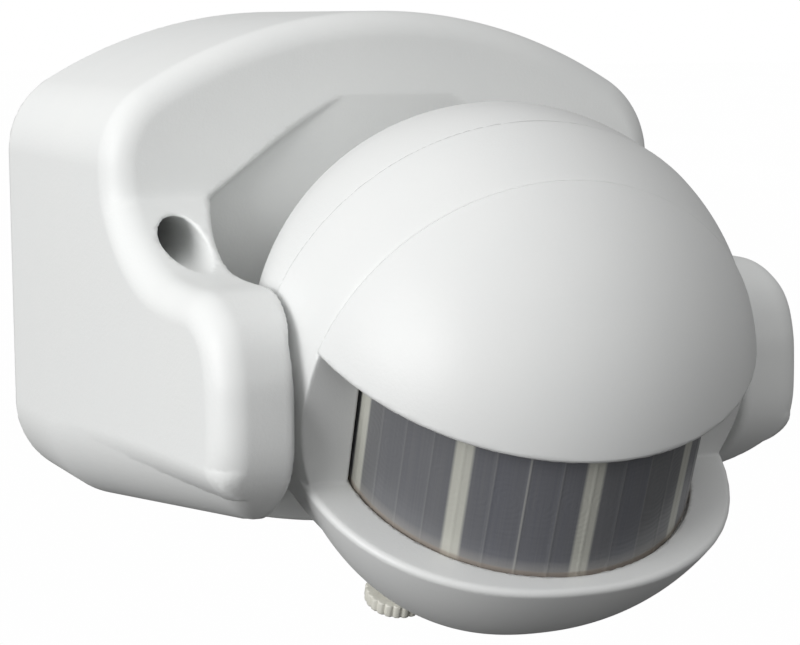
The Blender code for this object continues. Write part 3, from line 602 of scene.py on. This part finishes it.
def plate():
    ring = plate_outline(RIM_INSET + 0.2)
    count = len(ring)
    vertices = [(x, y, z) for y in (0.0, -PLATE_THICK) for x, z in ring]
    faces = [list(range(count)), list(range(2 * count - 1, count - 1, -1))]
    faces += [(i, i + count, (i + 1) % count + count, (i + 1) % count) for i in range(count)]
    obj = crease(finish_mesh("plate", vertices, faces))
    sink_radius, sink_depth = PLATE_SCREW_SINK
    holes = [((0.0, CABLE_Z), CABLE_HOLE_RADIUS, 1.0)]
    holes += [((way * WALL_HOLE[0], WALL_HOLE[1]), WALL_SCREW_RADIUS, 1.0) for way in (-1, 1)]
    for spot in PLATE_SCREWS:
        holes += [(spot, PLATE_SCREW_HOLE_RADIUS, 1.0), (spot, sink_radius, CUT_REACH - sink_depth)]
    for (x, z), radius, front in holes:
        profile = ((0, 0), (radius, 0), (radius, CUT_REACH), (0, CUT_REACH))
        cut(obj, turned("hole", profile, (x, front, z), (0, -1, 0), 48))
    soften(obj, 0.25)
    return place_piece(obj, "base", "housing_white", "back_plate")


def grommet():
    """A rubber bush with a rounded collar and a tapering mouth for the cable."""
    profile = arc((3.6, 0.6), 0.4, 180, 270, 5) + arc((5.6, 0.6), 0.4, 270, 360, 5) + [(6.0, 2.4)]
    for centre, start in (((7.8, 2.8), 270), ((7.8, 3.8), 0), ((3.6, 3.8), 90)):
        profile += arc(centre, 0.4, start, start + 90, 5)
    obj = turned("grommet", profile, (0.0, 0.0, CABLE_Z), (0, -1, 0), closed=True)
    return place_piece(obj, "base", "rubber_black", "cable_grommet")


THREAD_PITCH = 0.8
RECESS_HALF_WIDTH = 0.36
RECESS_DEPTH = 1.1


def screw(node, head_top, direction, radius, height, shank, length, body, tilted=False):
    """A pan-head screw with a rounded rim and a cross recess."""
    total = height + length
    profile = [(0, 0.0)] + [(radius * 0.6, 0.05)] + arc((radius - 0.35, 0.4), 0.35, 270, 360, 6)
    profile += [(radius, height), (shank, height + 0.1)]
    turns = int(length / THREAD_PITCH)
    for i in range(turns):
        base = height + 0.3 + i * (length - 1.4) / turns
        profile += [(shank - 0.15, base), (shank + 0.12, base + 0.35), (shank - 0.15, base + 0.6)]
    profile += [(shank - 0.3, total - 0.7), (0, total)]
    obj = turned(node.replace("screw", "fastener"), profile, head_top, direction, 64, tilted=tilted)
    x, y, z = head_top
    near, far = sorted((y - 3.0 * direction[1], y + RECESS_DEPTH * direction[1]))
    reach = radius * 0.62
    for half_x, half_z in ((reach, RECESS_HALF_WIDTH), (RECESS_HALF_WIDTH, reach)):
        cut(obj, bar("recess", (x - half_x, near, z - half_z), (x + half_x, far, z + half_z), tilted))
    return place_piece(obj, body, "steel", node)


def screws():
    for i, (x, z) in enumerate(PLATE_SCREWS):
        screw(f"back_plate_screw_{i + 1}", (x, -0.15, z), (0, -1, 0), 2.6, 0.8, 1.35, 10.0, "base")


# ---------------------------------------------------------------- head


def hood_side(lift=0.0):
    """Everything above the hood's sloping lower edge, lifted by a margin."""
    return plane_at((0, HOOD_EDGE_SLOPE, -1), (0, 0, HOOD_EDGE_Z + lift))


def ledge_side(drop=0.0):
    """Everything under the ledge, which falls towards the front."""
    return plane_at((0, -LEDGE_SLOPE, 1), (0, RECESS_Y, LEDGE_Z - drop))


def pivot_holes():
    """A hole for each bush along the tilt axis, with a slot from it to the seam."""
    axle = np.array(AXLE)
    radius = BUSH_RADIUS + GAP

    def bar_field(p):
        along = p @ axle
        away = np.linalg.norm(p - along[:, None] * axle, axis=1)
        return np.maximum(away - radius, 27.0 - np.abs(along))

    holes = [bar_field]
    for way in (-1, 1):
        y, z = (way * REAR_RADIUS * axle)[1:]
        low_x, high_x = sorted((way * 27.0, way * 34.0))
        low_y, high_y = sorted((0.0, y))
        holes.append(block((low_x, low_y, z - radius), (high_x, high_y, z + radius)))
    return holes


REAR_STEP = 0.6
FRONT_STEP = 0.38
HOOD_STEP = 0.4


def rear_shell():
    shell = less(sphere(REAR_RADIUS), sphere(REAR_RADIUS - SHELL))
    bosses = unite_all([bore(1, spot, BOSS_RADIUS, -1.0, 30.0) for spot in HEAD_SCREWS])
    bosses = meet(bosses, sphere(REAR_RADIUS - 0.5))
    shell = unite(shell, bosses)
    shell = meet(shell, half_space((0, -1, 0), -SEAM_HALF), SEAM_EDGE)
    sinks = [bore(1, spot, HEAD_SCREW_HOLE_RADIUS, -5.0, 30.0) for spot in HEAD_SCREWS]
    sinks += [bore(1, spot, HEAD_SCREW_SINK_RADIUS, 7.0, 40.0) for spot in HEAD_SCREWS]
    shell = less(shell, unite_all(sinks + pivot_holes()), 0.35)
    reach = REAR_RADIUS + 1.5
    obj = contour("rear_shell", shell, (-reach, -1.5, -reach), (reach, reach, reach), REAR_STEP, True)
    return place_piece(obj, "head", "head_white", "head_rear_shell")


def chin_body(inset=0.0, edge=0.0):
    """The chin under the ledge, drawn in by an inset, its rim rounded."""
    semi = [size - inset for size in CHIN_SEMI]
    return meet(oval(semi, CHIN_CENTRE, CHIN_POWER, CHIN_PLAN_POWER), ledge_side(inset), edge)


def knob_block(wall=0.0):
    """The pocket in the underside that takes the knobs, with or without its wall."""
    reach = KNOB_RADIUS + KNOB_POCKET_MARGIN + wall
    half = max(KNOBS.values()) + reach
    return block((-half, KNOB_Y - reach, -45.0), (half, KNOB_Y + reach, KNOB_PAD_Z + wall))


def front_inside():
    """The hollow of the front shell: the ball's, and the chin's as far as the knob pocket's wall."""
    ball = meet(sphere(REAR_RADIUS - SHELL), slab(1, RECESS_Y + SHELL, 5.0))
    bowl = meet(chin_body(SHELL), half_space((0, 1, 0), -1.2))
    return less(unite(ball, bowl), knob_block(SHELL))


def lens_groove():
    """The slot in the ledge that takes the foot of the lens."""
    centre = (0.0, LENS_AXIS_Y)
    groove = less(bore(2, centre, LENS_RADIUS + GAP), bore(2, centre, LENS_RADIUS - LENS_THICK - GAP))
    groove = meet(groove, block((-40, -40, -20.0), (40, LENS_AXIS_Y - 0.5, LEDGE_Z + 1.0)))
    return less(groove, ledge_side(0.9))


def front_shell():
    outer = meet(sphere(BAND_RADIUS), slab(1, RECESS_Y, -SEAM_HALF), SEAM_EDGE)
    chin = meet(chin_body(0.0, CHIN_RIM_EDGE), half_space((0, 1, 0), -SEAM_HALF), SEAM_EDGE)
    shell = unite(outer, chin, SMALL_EDGE)
    seat = meet(hood_side(-GAP), half_space((0, 1, 0), HOOD_SEAM_Y + SEAM_HALF))
    shell = less(shell, seat, HOOD_SEAM_EDGE)
    inner = front_inside()
    shell = less(shell, inner)
    half = LENS_RADIUS + GAP
    low = (-half, RECESS_Y - 2.0, LEDGE_Z + 0.15)
    window = block(low, (half, RECESS_Y + SHELL + 0.5, LENS_TOP_Z + 1.0))
    shell = less(shell, window, SMALL_EDGE)
    shell = less(shell, lens_groove(), SMALL_EDGE)

    pillars = unite_all([bore(1, spot, PILLAR_RADIUS, -7.5, -SEAM_HALF) for spot in HEAD_SCREWS])
    shell = unite(shell, meet(pillars, sphere(BAND_RADIUS - 0.5)))
    holes = [bore(1, spot, HEAD_SCREW_HOLE_RADIUS, -6.5, 3.0) for spot in HEAD_SCREWS]
    holes += [bore(2, (x, KNOB_Y), KNOB_SHAFT_HOLE_RADIUS, -35.0, -20.0) for x in KNOBS.values()]
    shell = less(shell, unite_all(holes + pivot_holes()), SMALL_EDGE)
    shell = less(shell, knob_block(), SEAM_EDGE)
    hidden = less(grow(inner, 0.4), grow(window, 1.5))
    thin = (flip(hidden), 0.1)
    obj = contour("front_shell", shell, (-33, -38, -34), (33, 3.0, 33), FRONT_STEP, True, thin)
    return place_piece(obj, "head", "head_white", "head_front_shell")


def hood():
    inner = [size - HOOD_WALL for size in HOOD_SEMI]
    shell = less(oval(HOOD_SEMI), oval(inner))
    shell = meet(shell, hood_side(), HOOD_LIP_EDGE)
    shell = meet(shell, half_space((0, 1, 0), HOOD_SEAM_Y - SEAM_HALF), HOOD_SEAM_EDGE)
    obj = contour("hood_shell", shell, (-33, -36, 2), (33, -9, 33), HOOD_STEP, True)
    return place_piece(obj, "head", "head_white", "hood")


def lens_top(y):
    return LENS_TOP_Z + LENS_TOP_SLOPE * (y - LENS_AXIS_Y)


RIDGE_STEP = POST_STEP / 4
RIDGE_HEIGHT = 0.07
RIDGE_HALF_ANGLE = 0.6
LENS_COLUMNS = 352
LENS_FOOT = 0.6
LENS_ROWS = 14


def lens():
    """A bent film with a fine ridge between its lens strips. Its UVs are degrees and millimetres."""
    vertices, faces, uvs = [], [], []
    across = LENS_COLUMNS + 1
    for layer in (0, 1):
        for i in range(across):
            angle = LENS_HALF_ANGLE * (2 * i / LENS_COLUMNS - 1)
            degrees = math.degrees(angle)
            to_ridge = abs((degrees / RIDGE_STEP + 0.5) % 1 - 0.5) * RIDGE_STEP
            ridge = RIDGE_HEIGHT * max(0.0, 1 - to_ridge / RIDGE_HALF_ANGLE)
            reach = LENS_RADIUS + ridge - layer * LENS_THICK
            y = LENS_AXIS_Y - reach * math.cos(angle)
            sheet_y = LENS_AXIS_Y - LENS_RADIUS * math.cos(angle)
            bottom = LEDGE_Z + LEDGE_SLOPE * (sheet_y - RECESS_Y) - LENS_FOOT
            top = lens_top(sheet_y)
            for j in range(LENS_ROWS + 1):
                z = bottom + (top - bottom) * j / LENS_ROWS
                vertices.append((reach * math.sin(angle), y, z))
                uvs.append((degrees, z - bottom))
    rows = LENS_ROWS + 1
    size = across * rows
    for i in range(LENS_COLUMNS):
        for j in range(LENS_ROWS):
            a = i * rows + j
            faces.append((a, a + rows, a + rows + 1, a + 1))
            faces.append((a + size, a + size + 1, a + size + rows + 1, a + size + rows))
        for a in (i * rows, i * rows + LENS_ROWS):
            faces.append((a, a + size, a + size + rows, a + rows))
    for a in range(LENS_ROWS):
        for b in (a, a + LENS_COLUMNS * rows):
            faces.append((b, b + 1, b + 1 + size, b + size))
    obj = crease(finish_mesh("lens", vertices, faces, tilted=True), 40)
    layer = obj.data.uv_layers.new(name="strip")
    for loop in obj.data.loops:
        layer.data[loop.index].uv = uvs[loop.vertex_index]
    return place_piece(obj, "head", "lens_grey", "fresnel_lens")


KNOB_STEM_RADIUS = 2.0
KNOB_FLUTES = 22
FLUTE_DEPTH = 0.22


def knobs():
    """Adjusting knobs with a fluted rim, a screwdriver slot and a pointer notch."""

    def flute(radius, height, angle):
        on_rim = radius > KNOB_RADIUS - 0.6 and height < KNOB_TOP_Z - KNOB_BOTTOM_Z + 0.1
        groove = FLUTE_DEPTH * (0.5 + 0.5 * math.cos(KNOB_FLUTES * angle)) ** 3
        return radius - (groove if on_rim else 0.0)

    for node, x in KNOBS.items():
        cap = KNOB_TOP_Z - KNOB_BOTTOM_Z
        rise = TRIMMER_Z - KNOB_BOTTOM_Z
        profile = [(0, 0)] + arc((KNOB_RADIUS - 0.4, 0.4), 0.4, 270, 360, 6)
        profile += arc((KNOB_RADIUS - 0.25, cap - 0.25), 0.25, 0, 90, 4)
        profile += [(KNOB_STEM_RADIUS, cap), (KNOB_STEM_RADIUS, rise), (0, rise)]
        origin = (x, KNOB_Y, KNOB_BOTTOM_Z)
        obj = turned(node + "_cap", profile, origin, (0, 0, 1), 8 * KNOB_FLUTES, flute=flute, tilted=True)
        low = (x - KNOB_RADIUS + 1.0, KNOB_Y - 0.5, KNOB_BOTTOM_Z - 1.0)
        high = (x + KNOB_RADIUS - 1.0, KNOB_Y + 0.5, KNOB_BOTTOM_Z + 0.9)
        cut(obj, bar("slot", low, high, True))
        low = (x - 0.3, KNOB_Y + 1.6, KNOB_BOTTOM_Z - 1.0)
        high = (x + 0.3, KNOB_Y + KNOB_RADIUS + 1.0, KNOB_BOTTOM_Z + 0.35)
        cut(obj, bar("pointer", low, high, True))
        place_piece(obj, node, "frame_ivory", node)


def head_screws():
    low, high = HEAD_SCREW_SPAN
    height = 1.5
    for i, (x, z) in enumerate(HEAD_SCREWS):
        node = f"head_screw_{i + 1}"
        screw(node, (x, high, z), (0, -1, 0), 2.4, height, 1.2, high - low - height, "head", True)


# ---------------------------------------------------------------- materials


class Nodes:
    """A small helper that adds and links shader nodes."""

    def __init__(self, name):
        self.material = bpy.data.materials.new(name)
        self.material.use_nodes = True
        self.tree = self.material.node_tree
        self.surface = self.tree.nodes["Principled BSDF"]

    def add(self, kind, *inputs, **settings):
        """Adds a node; each input is a value or another node's output, in order, None to skip."""
        node = self.tree.nodes.new("ShaderNode" + kind)
        for key, setting in settings.items():
            setattr(node, key, setting)
        for socket, value in zip(node.inputs, inputs):
            if value is None:
                continue
            if isinstance(value, bpy.types.NodeSocket):
                self.tree.links.new(value, socket)
            else:
                socket.default_value = value
        return node

    def math(self, operation, *inputs):
        return self.add("Math", *inputs, operation=operation).outputs[0]

    def place(self, scale):
        """Object coordinates, in metres, scaled."""
        where = self.add("TexCoord").outputs["Object"]
        return self.add("VectorMath", where, (scale, scale, scale), operation="MULTIPLY").outputs[0]

    def noise(self, scale, detail=2.0, roughness=0.5):
        made = self.add("TexNoise")
        self.tree.links.new(self.place(scale), made.inputs["Vector"])
        made.inputs["Scale"].default_value = 1.0
        made.inputs["Detail"].default_value = detail
        made.inputs["Roughness"].default_value = roughness
        return made.outputs["Fac"]

    def span(self, value, low, high, out_low, out_high):
        return self.add("MapRange", value, low, high, out_low, out_high).outputs[0]

    def tint(self, factor, first, second):
        made = self.add("Mix", data_type="RGBA")
        colours = [socket for socket in made.inputs if socket.type == "RGBA"]
        for socket, colour in zip(colours, (first, second)):
            if isinstance(colour, bpy.types.NodeSocket):
                self.tree.links.new(colour, socket)
            else:
                socket.default_value = (*colour, 1.0)
        if isinstance(factor, bpy.types.NodeSocket):
            self.tree.links.new(factor, made.inputs[0])
        else:
            made.inputs[0].default_value = factor
        return next(socket for socket in made.outputs if socket.type == "RGBA")

    def feed(self, name, value):
        if isinstance(value, bpy.types.NodeSocket):
            self.tree.links.new(value, self.surface.inputs[name])
        else:
            self.surface.inputs[name].default_value = value

    def bump(self, height, distance, strength=1.0):
        made = self.add("Bump")
        self.tree.links.new(height, made.inputs["Height"])
        made.inputs["Distance"].default_value = distance
        made.inputs["Strength"].default_value = strength
        self.feed("Normal", made.outputs[0])


def grained(name, colour, second, roughness, grain, metallic=0.0, patch=90.0, fine=2600.0, coat=0.0):
    """A surface with soft patches of a second tone, a fine grain and uneven gloss."""
    nodes = Nodes(name)
    patches = nodes.noise(patch, 4.0)
    fines = nodes.noise(fine, 2.0, 0.6)
    blend = nodes.span(patches, 0.3, 0.7, 0.0, 1.0)
    nodes.feed("Base Color", nodes.tint(blend, colour, second))
    broad = nodes.span(patches, 0.3, 0.7, -0.04, 0.04)
    close = nodes.span(fines, 0.3, 0.7, -0.03, 0.03)
    gloss = nodes.math("ADD", broad, close)
    nodes.feed("Roughness", nodes.math("ADD", gloss, roughness))
    nodes.feed("Metallic", metallic)
    nodes.feed("Coat Weight", coat)
    nodes.bump(fines, grain)
    return nodes.material


# Film colours, and where they lie: angles in degrees, heights in millimetres above the foot
BRIGHT_LINE = -20.0
FILM_COOL = (0.150, 0.155, 0.176)
FILM_WARM = (0.165, 0.168, 0.175)
STREAK_TONE = (0.215, 0.215, 0.215)
RIDGE_TONE = (0.40, 0.40, 0.38)
LINE_TONE = (0.42, 0.42, 0.40)
POST_TONE = (0.58, 0.58, 0.52)
FOOT_TONE = (0.50, 0.48, 0.44)
# colour of the painted contact shadow, a thin brownish line along the film's foot
PAINTED_FOOT_SHADOW = (0.36, 0.29, 0.23)


def lens_material():
    """Milky grey-blue film: lighter over the frame's posts and at its foot, with fine lens rings."""
    nodes = Nodes("lens_grey")
    uv = nodes.add("UVMap", uv_map="strip").outputs[0]
    split = nodes.add("SeparateXYZ", uv)
    degrees, height = split.outputs[0], split.outputs[1]

    def to_nearest(step, shift):
        turns = nodes.math("DIVIDE", nodes.math("ADD", degrees, shift), step)
        offset = nodes.math("SUBTRACT", nodes.math("FRACT", nodes.math("ADD", turns, 100.5)), 0.5)
        return nodes.math("MULTIPLY", offset, step)

    strip = nodes.math("FLOOR", nodes.math("DIVIDE", degrees, RIDGE_STEP))
    shade = nodes.add("TexWhiteNoise", None, strip, noise_dimensions="1D").outputs[0]
    film = nodes.tint(shade, FILM_COOL, FILM_WARM)
    across = nodes.math("MULTIPLY", degrees, 1.6)
    streak_place = nodes.add("CombineXYZ", across, nodes.math("MULTIPLY", height, 0.05))
    streaks = nodes.add("TexNoise")
    nodes.tree.links.new(streak_place.outputs[0], streaks.inputs["Vector"])
    streaks.inputs["Scale"].default_value = 1.0
    film = nodes.tint(nodes.span(streaks.outputs["Fac"], 0.35, 0.75, 0.0, 0.35), film, STREAK_TONE)

    line = nodes.math("ABSOLUTE", to_nearest(RIDGE_STEP, 0.0))
    film = nodes.tint(nodes.span(line, 0.1, 0.4, 0.18, 0.0), film, RIDGE_TONE)
    middle = nodes.math("ABSOLUTE", nodes.math("SUBTRACT", degrees, BRIGHT_LINE))
    film = nodes.tint(nodes.span(middle, 0.15, 0.5, 0.55, 0.0), film, LINE_TONE)
    post = nodes.math("ABSOLUTE", to_nearest(POST_STEP, 0.0))
    over_post = nodes.span(post, POST_HALF_ANGLE - 0.5, POST_HALF_ANGLE + 0.6, 0.9, 0.0)
    film = nodes.tint(over_post, film, POST_TONE)
    film = nodes.tint(nodes.span(height, 0.8, 2.4, 0.35, 0.0), film, FOOT_TONE)
    # painted contact shadow: a thin brownish line along the film's foot, where the lens meets the ledge
    film = nodes.tint(nodes.span(height, 0.75, 1.05, 0.5, 0.0), film, PAINTED_FOOT_SHADOW)
    nodes.feed("Base Color", film)

    millimetres = math.radians(1) * LENS_RADIUS
    across = nodes.math("MULTIPLY", to_nearest(RIDGE_STEP, RIDGE_STEP / 2), millimetres)
    up = nodes.math("SUBTRACT", height, 10.0)
    square = nodes.math("ADD", nodes.math("POWER", across, 2.0), nodes.math("POWER", up, 2.0))
    rings = nodes.math("SINE", nodes.math("MULTIPLY", nodes.math("SQRT", square), 9.0))
    nodes.bump(rings, 0.000006)
    nodes.feed("Roughness", 0.28)
    nodes.feed("Alpha", 0.93)
    nodes.feed("IOR", 1.5)
    return nodes.material


def board_material():
    """Green solder mask with paler copper tracks under it."""
    nodes = Nodes("board_green")
    tracks = nodes.add("TexBrick")
    nodes.tree.links.new(nodes.place(160.0), tracks.inputs["Vector"])
    tracks.inputs["Color1"].default_value = (0.02, 0.16, 0.06, 1)
    tracks.inputs["Color2"].default_value = (0.03, 0.20, 0.08, 1)
    tracks.inputs["Mortar"].default_value = (0.07, 0.34, 0.14, 1)
    tracks.inputs["Scale"].default_value = 1.0
    nodes.feed("Base Color", tracks.outputs["Color"])
    nodes.feed("Roughness", nodes.span(nodes.noise(300.0), 0.3, 0.7, 0.3, 0.5))
    nodes.bump(tracks.outputs["Fac"], 0.00004)
    return nodes.material


GRAINED = {  # name: (colour, second tone, roughness, grain depth in metres, metallic, patches, fine, coat)
    "housing_white": ((0.825, 0.835, 0.825), (0.800, 0.812, 0.805), 0.47, 0.000022, 0, 70, 2400, 0),
    "head_white": ((0.770, 0.778, 0.770), (0.750, 0.760, 0.755), 0.43, 0.000016, 0, 80, 2600, 0),
    "frame_ivory": ((0.72, 0.71, 0.64), (0.68, 0.67, 0.60), 0.5, 0.00002, 0, 120, 2400, 0),
    "rubber_black": ((0.022, 0.022, 0.023), (0.035, 0.034, 0.033), 0.72, 0.00004, 0, 200, 1800, 0),
    "steel": ((0.60, 0.61, 0.63), (0.50, 0.51, 0.52), 0.3, 0.00001, 1, 500, 3200, 0),
    "brass": ((0.76, 0.58, 0.27), (0.62, 0.45, 0.20), 0.3, 0.00001, 1, 400, 3000, 0),
    "terminal_grey": ((0.52, 0.53, 0.54), (0.47, 0.48, 0.49), 0.5, 0.00002, 0, 150, 2400, 0),
    "relay_blue": ((0.04, 0.16, 0.50), (0.05, 0.19, 0.56), 0.4, 0.00001, 0, 150, 2400, 0.2),
    "film_yellow": ((0.78, 0.60, 0.10), (0.70, 0.52, 0.08), 0.4, 0.00002, 0, 200, 2000, 0.3),
    "sleeve_black": ((0.03, 0.03, 0.05), (0.05, 0.05, 0.07), 0.35, 0.00001, 0, 150, 2000, 0.3),
    "chip_black": ((0.018, 0.018, 0.018), (0.03, 0.03, 0.03), 0.55, 0.00003, 0, 300, 3000, 0),
    "cell_tan": ((0.55, 0.38, 0.22), (0.35, 0.12, 0.05), 0.4, 0.00002, 0, 900, 2400, 0.2),
    "lamp_red": ((0.70, 0.04, 0.03), (0.55, 0.02, 0.02), 0.18, 0.000004, 0, 200, 1500, 0.5),
    "trimmer_blue": ((0.08, 0.22, 0.55), (0.10, 0.26, 0.60), 0.45, 0.00002, 0, 200, 2400, 0),
    "lead_brown": ((0.22, 0.11, 0.05), (0.18, 0.09, 0.04), 0.45, 0.00002, 0, 200, 2000, 0),
    "lead_blue": ((0.04, 0.13, 0.45), (0.03, 0.11, 0.38), 0.45, 0.00002, 0, 200, 2000, 0),
    "lead_red": ((0.55, 0.04, 0.04), (0.48, 0.03, 0.03), 0.45, 0.00002, 0, 200, 2000, 0),
}


def materials():
    made = {}
    for name, (colour, second, roughness, grain, metallic, patch, fine, coat) in GRAINED.items():
        made[name] = grained(name, colour, second, roughness, grain, metallic, patch, fine, coat)
    made["lens_grey"] = lens_material()
    made["board_green"] = board_material()
    return made


# ---------------------------------------------------------------- stage

CAMERA_PLACE = (-0.1266, -0.2889, 0.0407)
CAMERA_AZIMUTH = math.radians(-27.44)
CAMERA_ELEVATION = math.radians(8.51)
CAMERA_LENS = 91.97
CAMERA_SHIFT = (-0.0092, 0.0065)


def camera():
    data = bpy.data.cameras.new("camera")
    data.lens = CAMERA_LENS
    data.sensor_width = 36.0
    data.shift_x, data.shift_y = CAMERA_SHIFT
    data.clip_start = 0.01
    obj = bpy.data.objects.new("camera", data)
    rise = Matrix.Rotation(math.pi / 2 - CAMERA_ELEVATION, 4, "X")
    turn = Matrix.Rotation(CAMERA_AZIMUTH, 4, "Z")
    obj.matrix_world = Matrix.Translation(CAMERA_PLACE) @ turn @ rise
    bpy.context.scene.collection.objects.link(obj)
    bpy.context.scene.camera = obj


def lamp(name, place, target, size, power, colour=(1.0, 1.0, 1.0)):
    data = bpy.data.lights.new(name, "AREA")
    data.shape = "DISK"
    data.size = size
    data.energy = power
    data.color = colour
    obj = bpy.data.objects.new(name, data)
    obj.location = place
    obj.rotation_euler = (Vector(place) - Vector(target)).to_track_quat("Z", "Y").to_euler()
    bpy.context.scene.collection.objects.link(obj)


FLOOR_Z = -0.11
FLOOR_REACH = 6.0
FLOOR_GREY = 0.09
CAMERA_WHITE = 1.0
SKY_BRIGHT = 0.88
SKY_DARK = 0.06
SKY_LEFT = (-0.68, -0.35, 0.64)
KEY_PLACE = (-1.05, -0.32, 0.26)
KEY_SIZE = 0.7
KEY_POWER = 7.8


def floor_material():
    """Pale paper to the camera; to the object it only gives back a little light from below."""
    nodes = Nodes("floor")
    paper = nodes.tint(nodes.noise(3.0), (0.99, 0.99, 0.99), (1.0, 1.0, 1.0))
    dim = nodes.tint(nodes.noise(3.0), (FLOOR_GREY,) * 3, (FLOOR_GREY * 1.1,) * 3)
    seen = nodes.add("LightPath").outputs["Is Camera Ray"]
    glow = nodes.add("Emission", nodes.tint(seen, dim, paper), CAMERA_WHITE)
    output = nodes.tree.nodes["Material Output"]
    nodes.tree.links.new(glow.outputs[0], output.inputs["Surface"])
    return nodes.material


def sky():
    """Soft light that fades from the upper left to the lower right; the camera sees it plain white."""
    world = bpy.data.worlds.new("studio")
    world.use_nodes = True
    tree = world.node_tree
    back = tree.nodes["Background"]
    where = tree.nodes.new("ShaderNodeTexCoord")
    lean = tree.nodes.new("ShaderNodeVectorMath")
    lean.operation = "DOT_PRODUCT"
    lean.inputs[1].default_value = SKY_LEFT
    tree.links.new(where.outputs["Generated"], lean.inputs[0])
    fade = tree.nodes.new("ShaderNodeMapRange")
    tree.links.new(lean.outputs["Value"], fade.inputs[0])
    for index, value in ((1, -1.0), (2, 1.0), (3, SKY_DARK), (4, SKY_BRIGHT)):
        fade.inputs[index].default_value = value
    path = tree.nodes.new("ShaderNodeLightPath")
    strength = tree.nodes.new("ShaderNodeMapRange")
    tree.links.new(path.outputs["Is Camera Ray"], strength.inputs[0])
    tree.links.new(fade.outputs[0], strength.inputs[3])
    strength.inputs[4].default_value = CAMERA_WHITE
    tree.links.new(strength.outputs[0], back.inputs["Strength"])
    back.inputs["Color"].default_value = (1.0, 1.0, 1.0, 1.0)
    bpy.context.scene.world = world


def studio():
    mesh = bpy.data.meshes.new("floor")
    ways = ((-1, -1), (1, -1), (1, 1), (-1, 1))
    corners = [(x * FLOOR_REACH, y * FLOOR_REACH, FLOOR_Z) for x, y in ways]
    mesh.from_pydata(corners, [], [range(4)])
    floor = bpy.data.objects.new("floor", mesh)
    bpy.context.scene.collection.objects.link(floor)
    mesh.materials.append(floor_material())
    sky()
    bpy.context.scene.view_settings.view_transform = "Standard"
    lamp("key", KEY_PLACE, (0.0, -0.05, 0.0), KEY_SIZE, KEY_POWER)


# ---------------------------------------------------------------- build

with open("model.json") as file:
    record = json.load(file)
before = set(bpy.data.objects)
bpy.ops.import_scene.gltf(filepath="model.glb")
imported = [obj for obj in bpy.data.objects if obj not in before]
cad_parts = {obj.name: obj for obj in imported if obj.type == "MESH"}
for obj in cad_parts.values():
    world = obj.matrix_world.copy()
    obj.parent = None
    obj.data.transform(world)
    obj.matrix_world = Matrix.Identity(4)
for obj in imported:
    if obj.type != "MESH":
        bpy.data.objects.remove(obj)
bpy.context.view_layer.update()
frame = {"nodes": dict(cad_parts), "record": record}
MATERIALS = materials()
SLOT_OF = {part["node"]: part["material_slot"] for part in frame["record"]["subparts"]}
for node, obj in frame["nodes"].items():
    obj.data.materials.clear()
    obj.data.materials.append(MATERIALS[SLOT_OF[node]])

housing()
plate()
grommet()
screws()
rear_shell()
front_shell()
hood()
lens()
knobs()
head_screws()
camera()
studio()
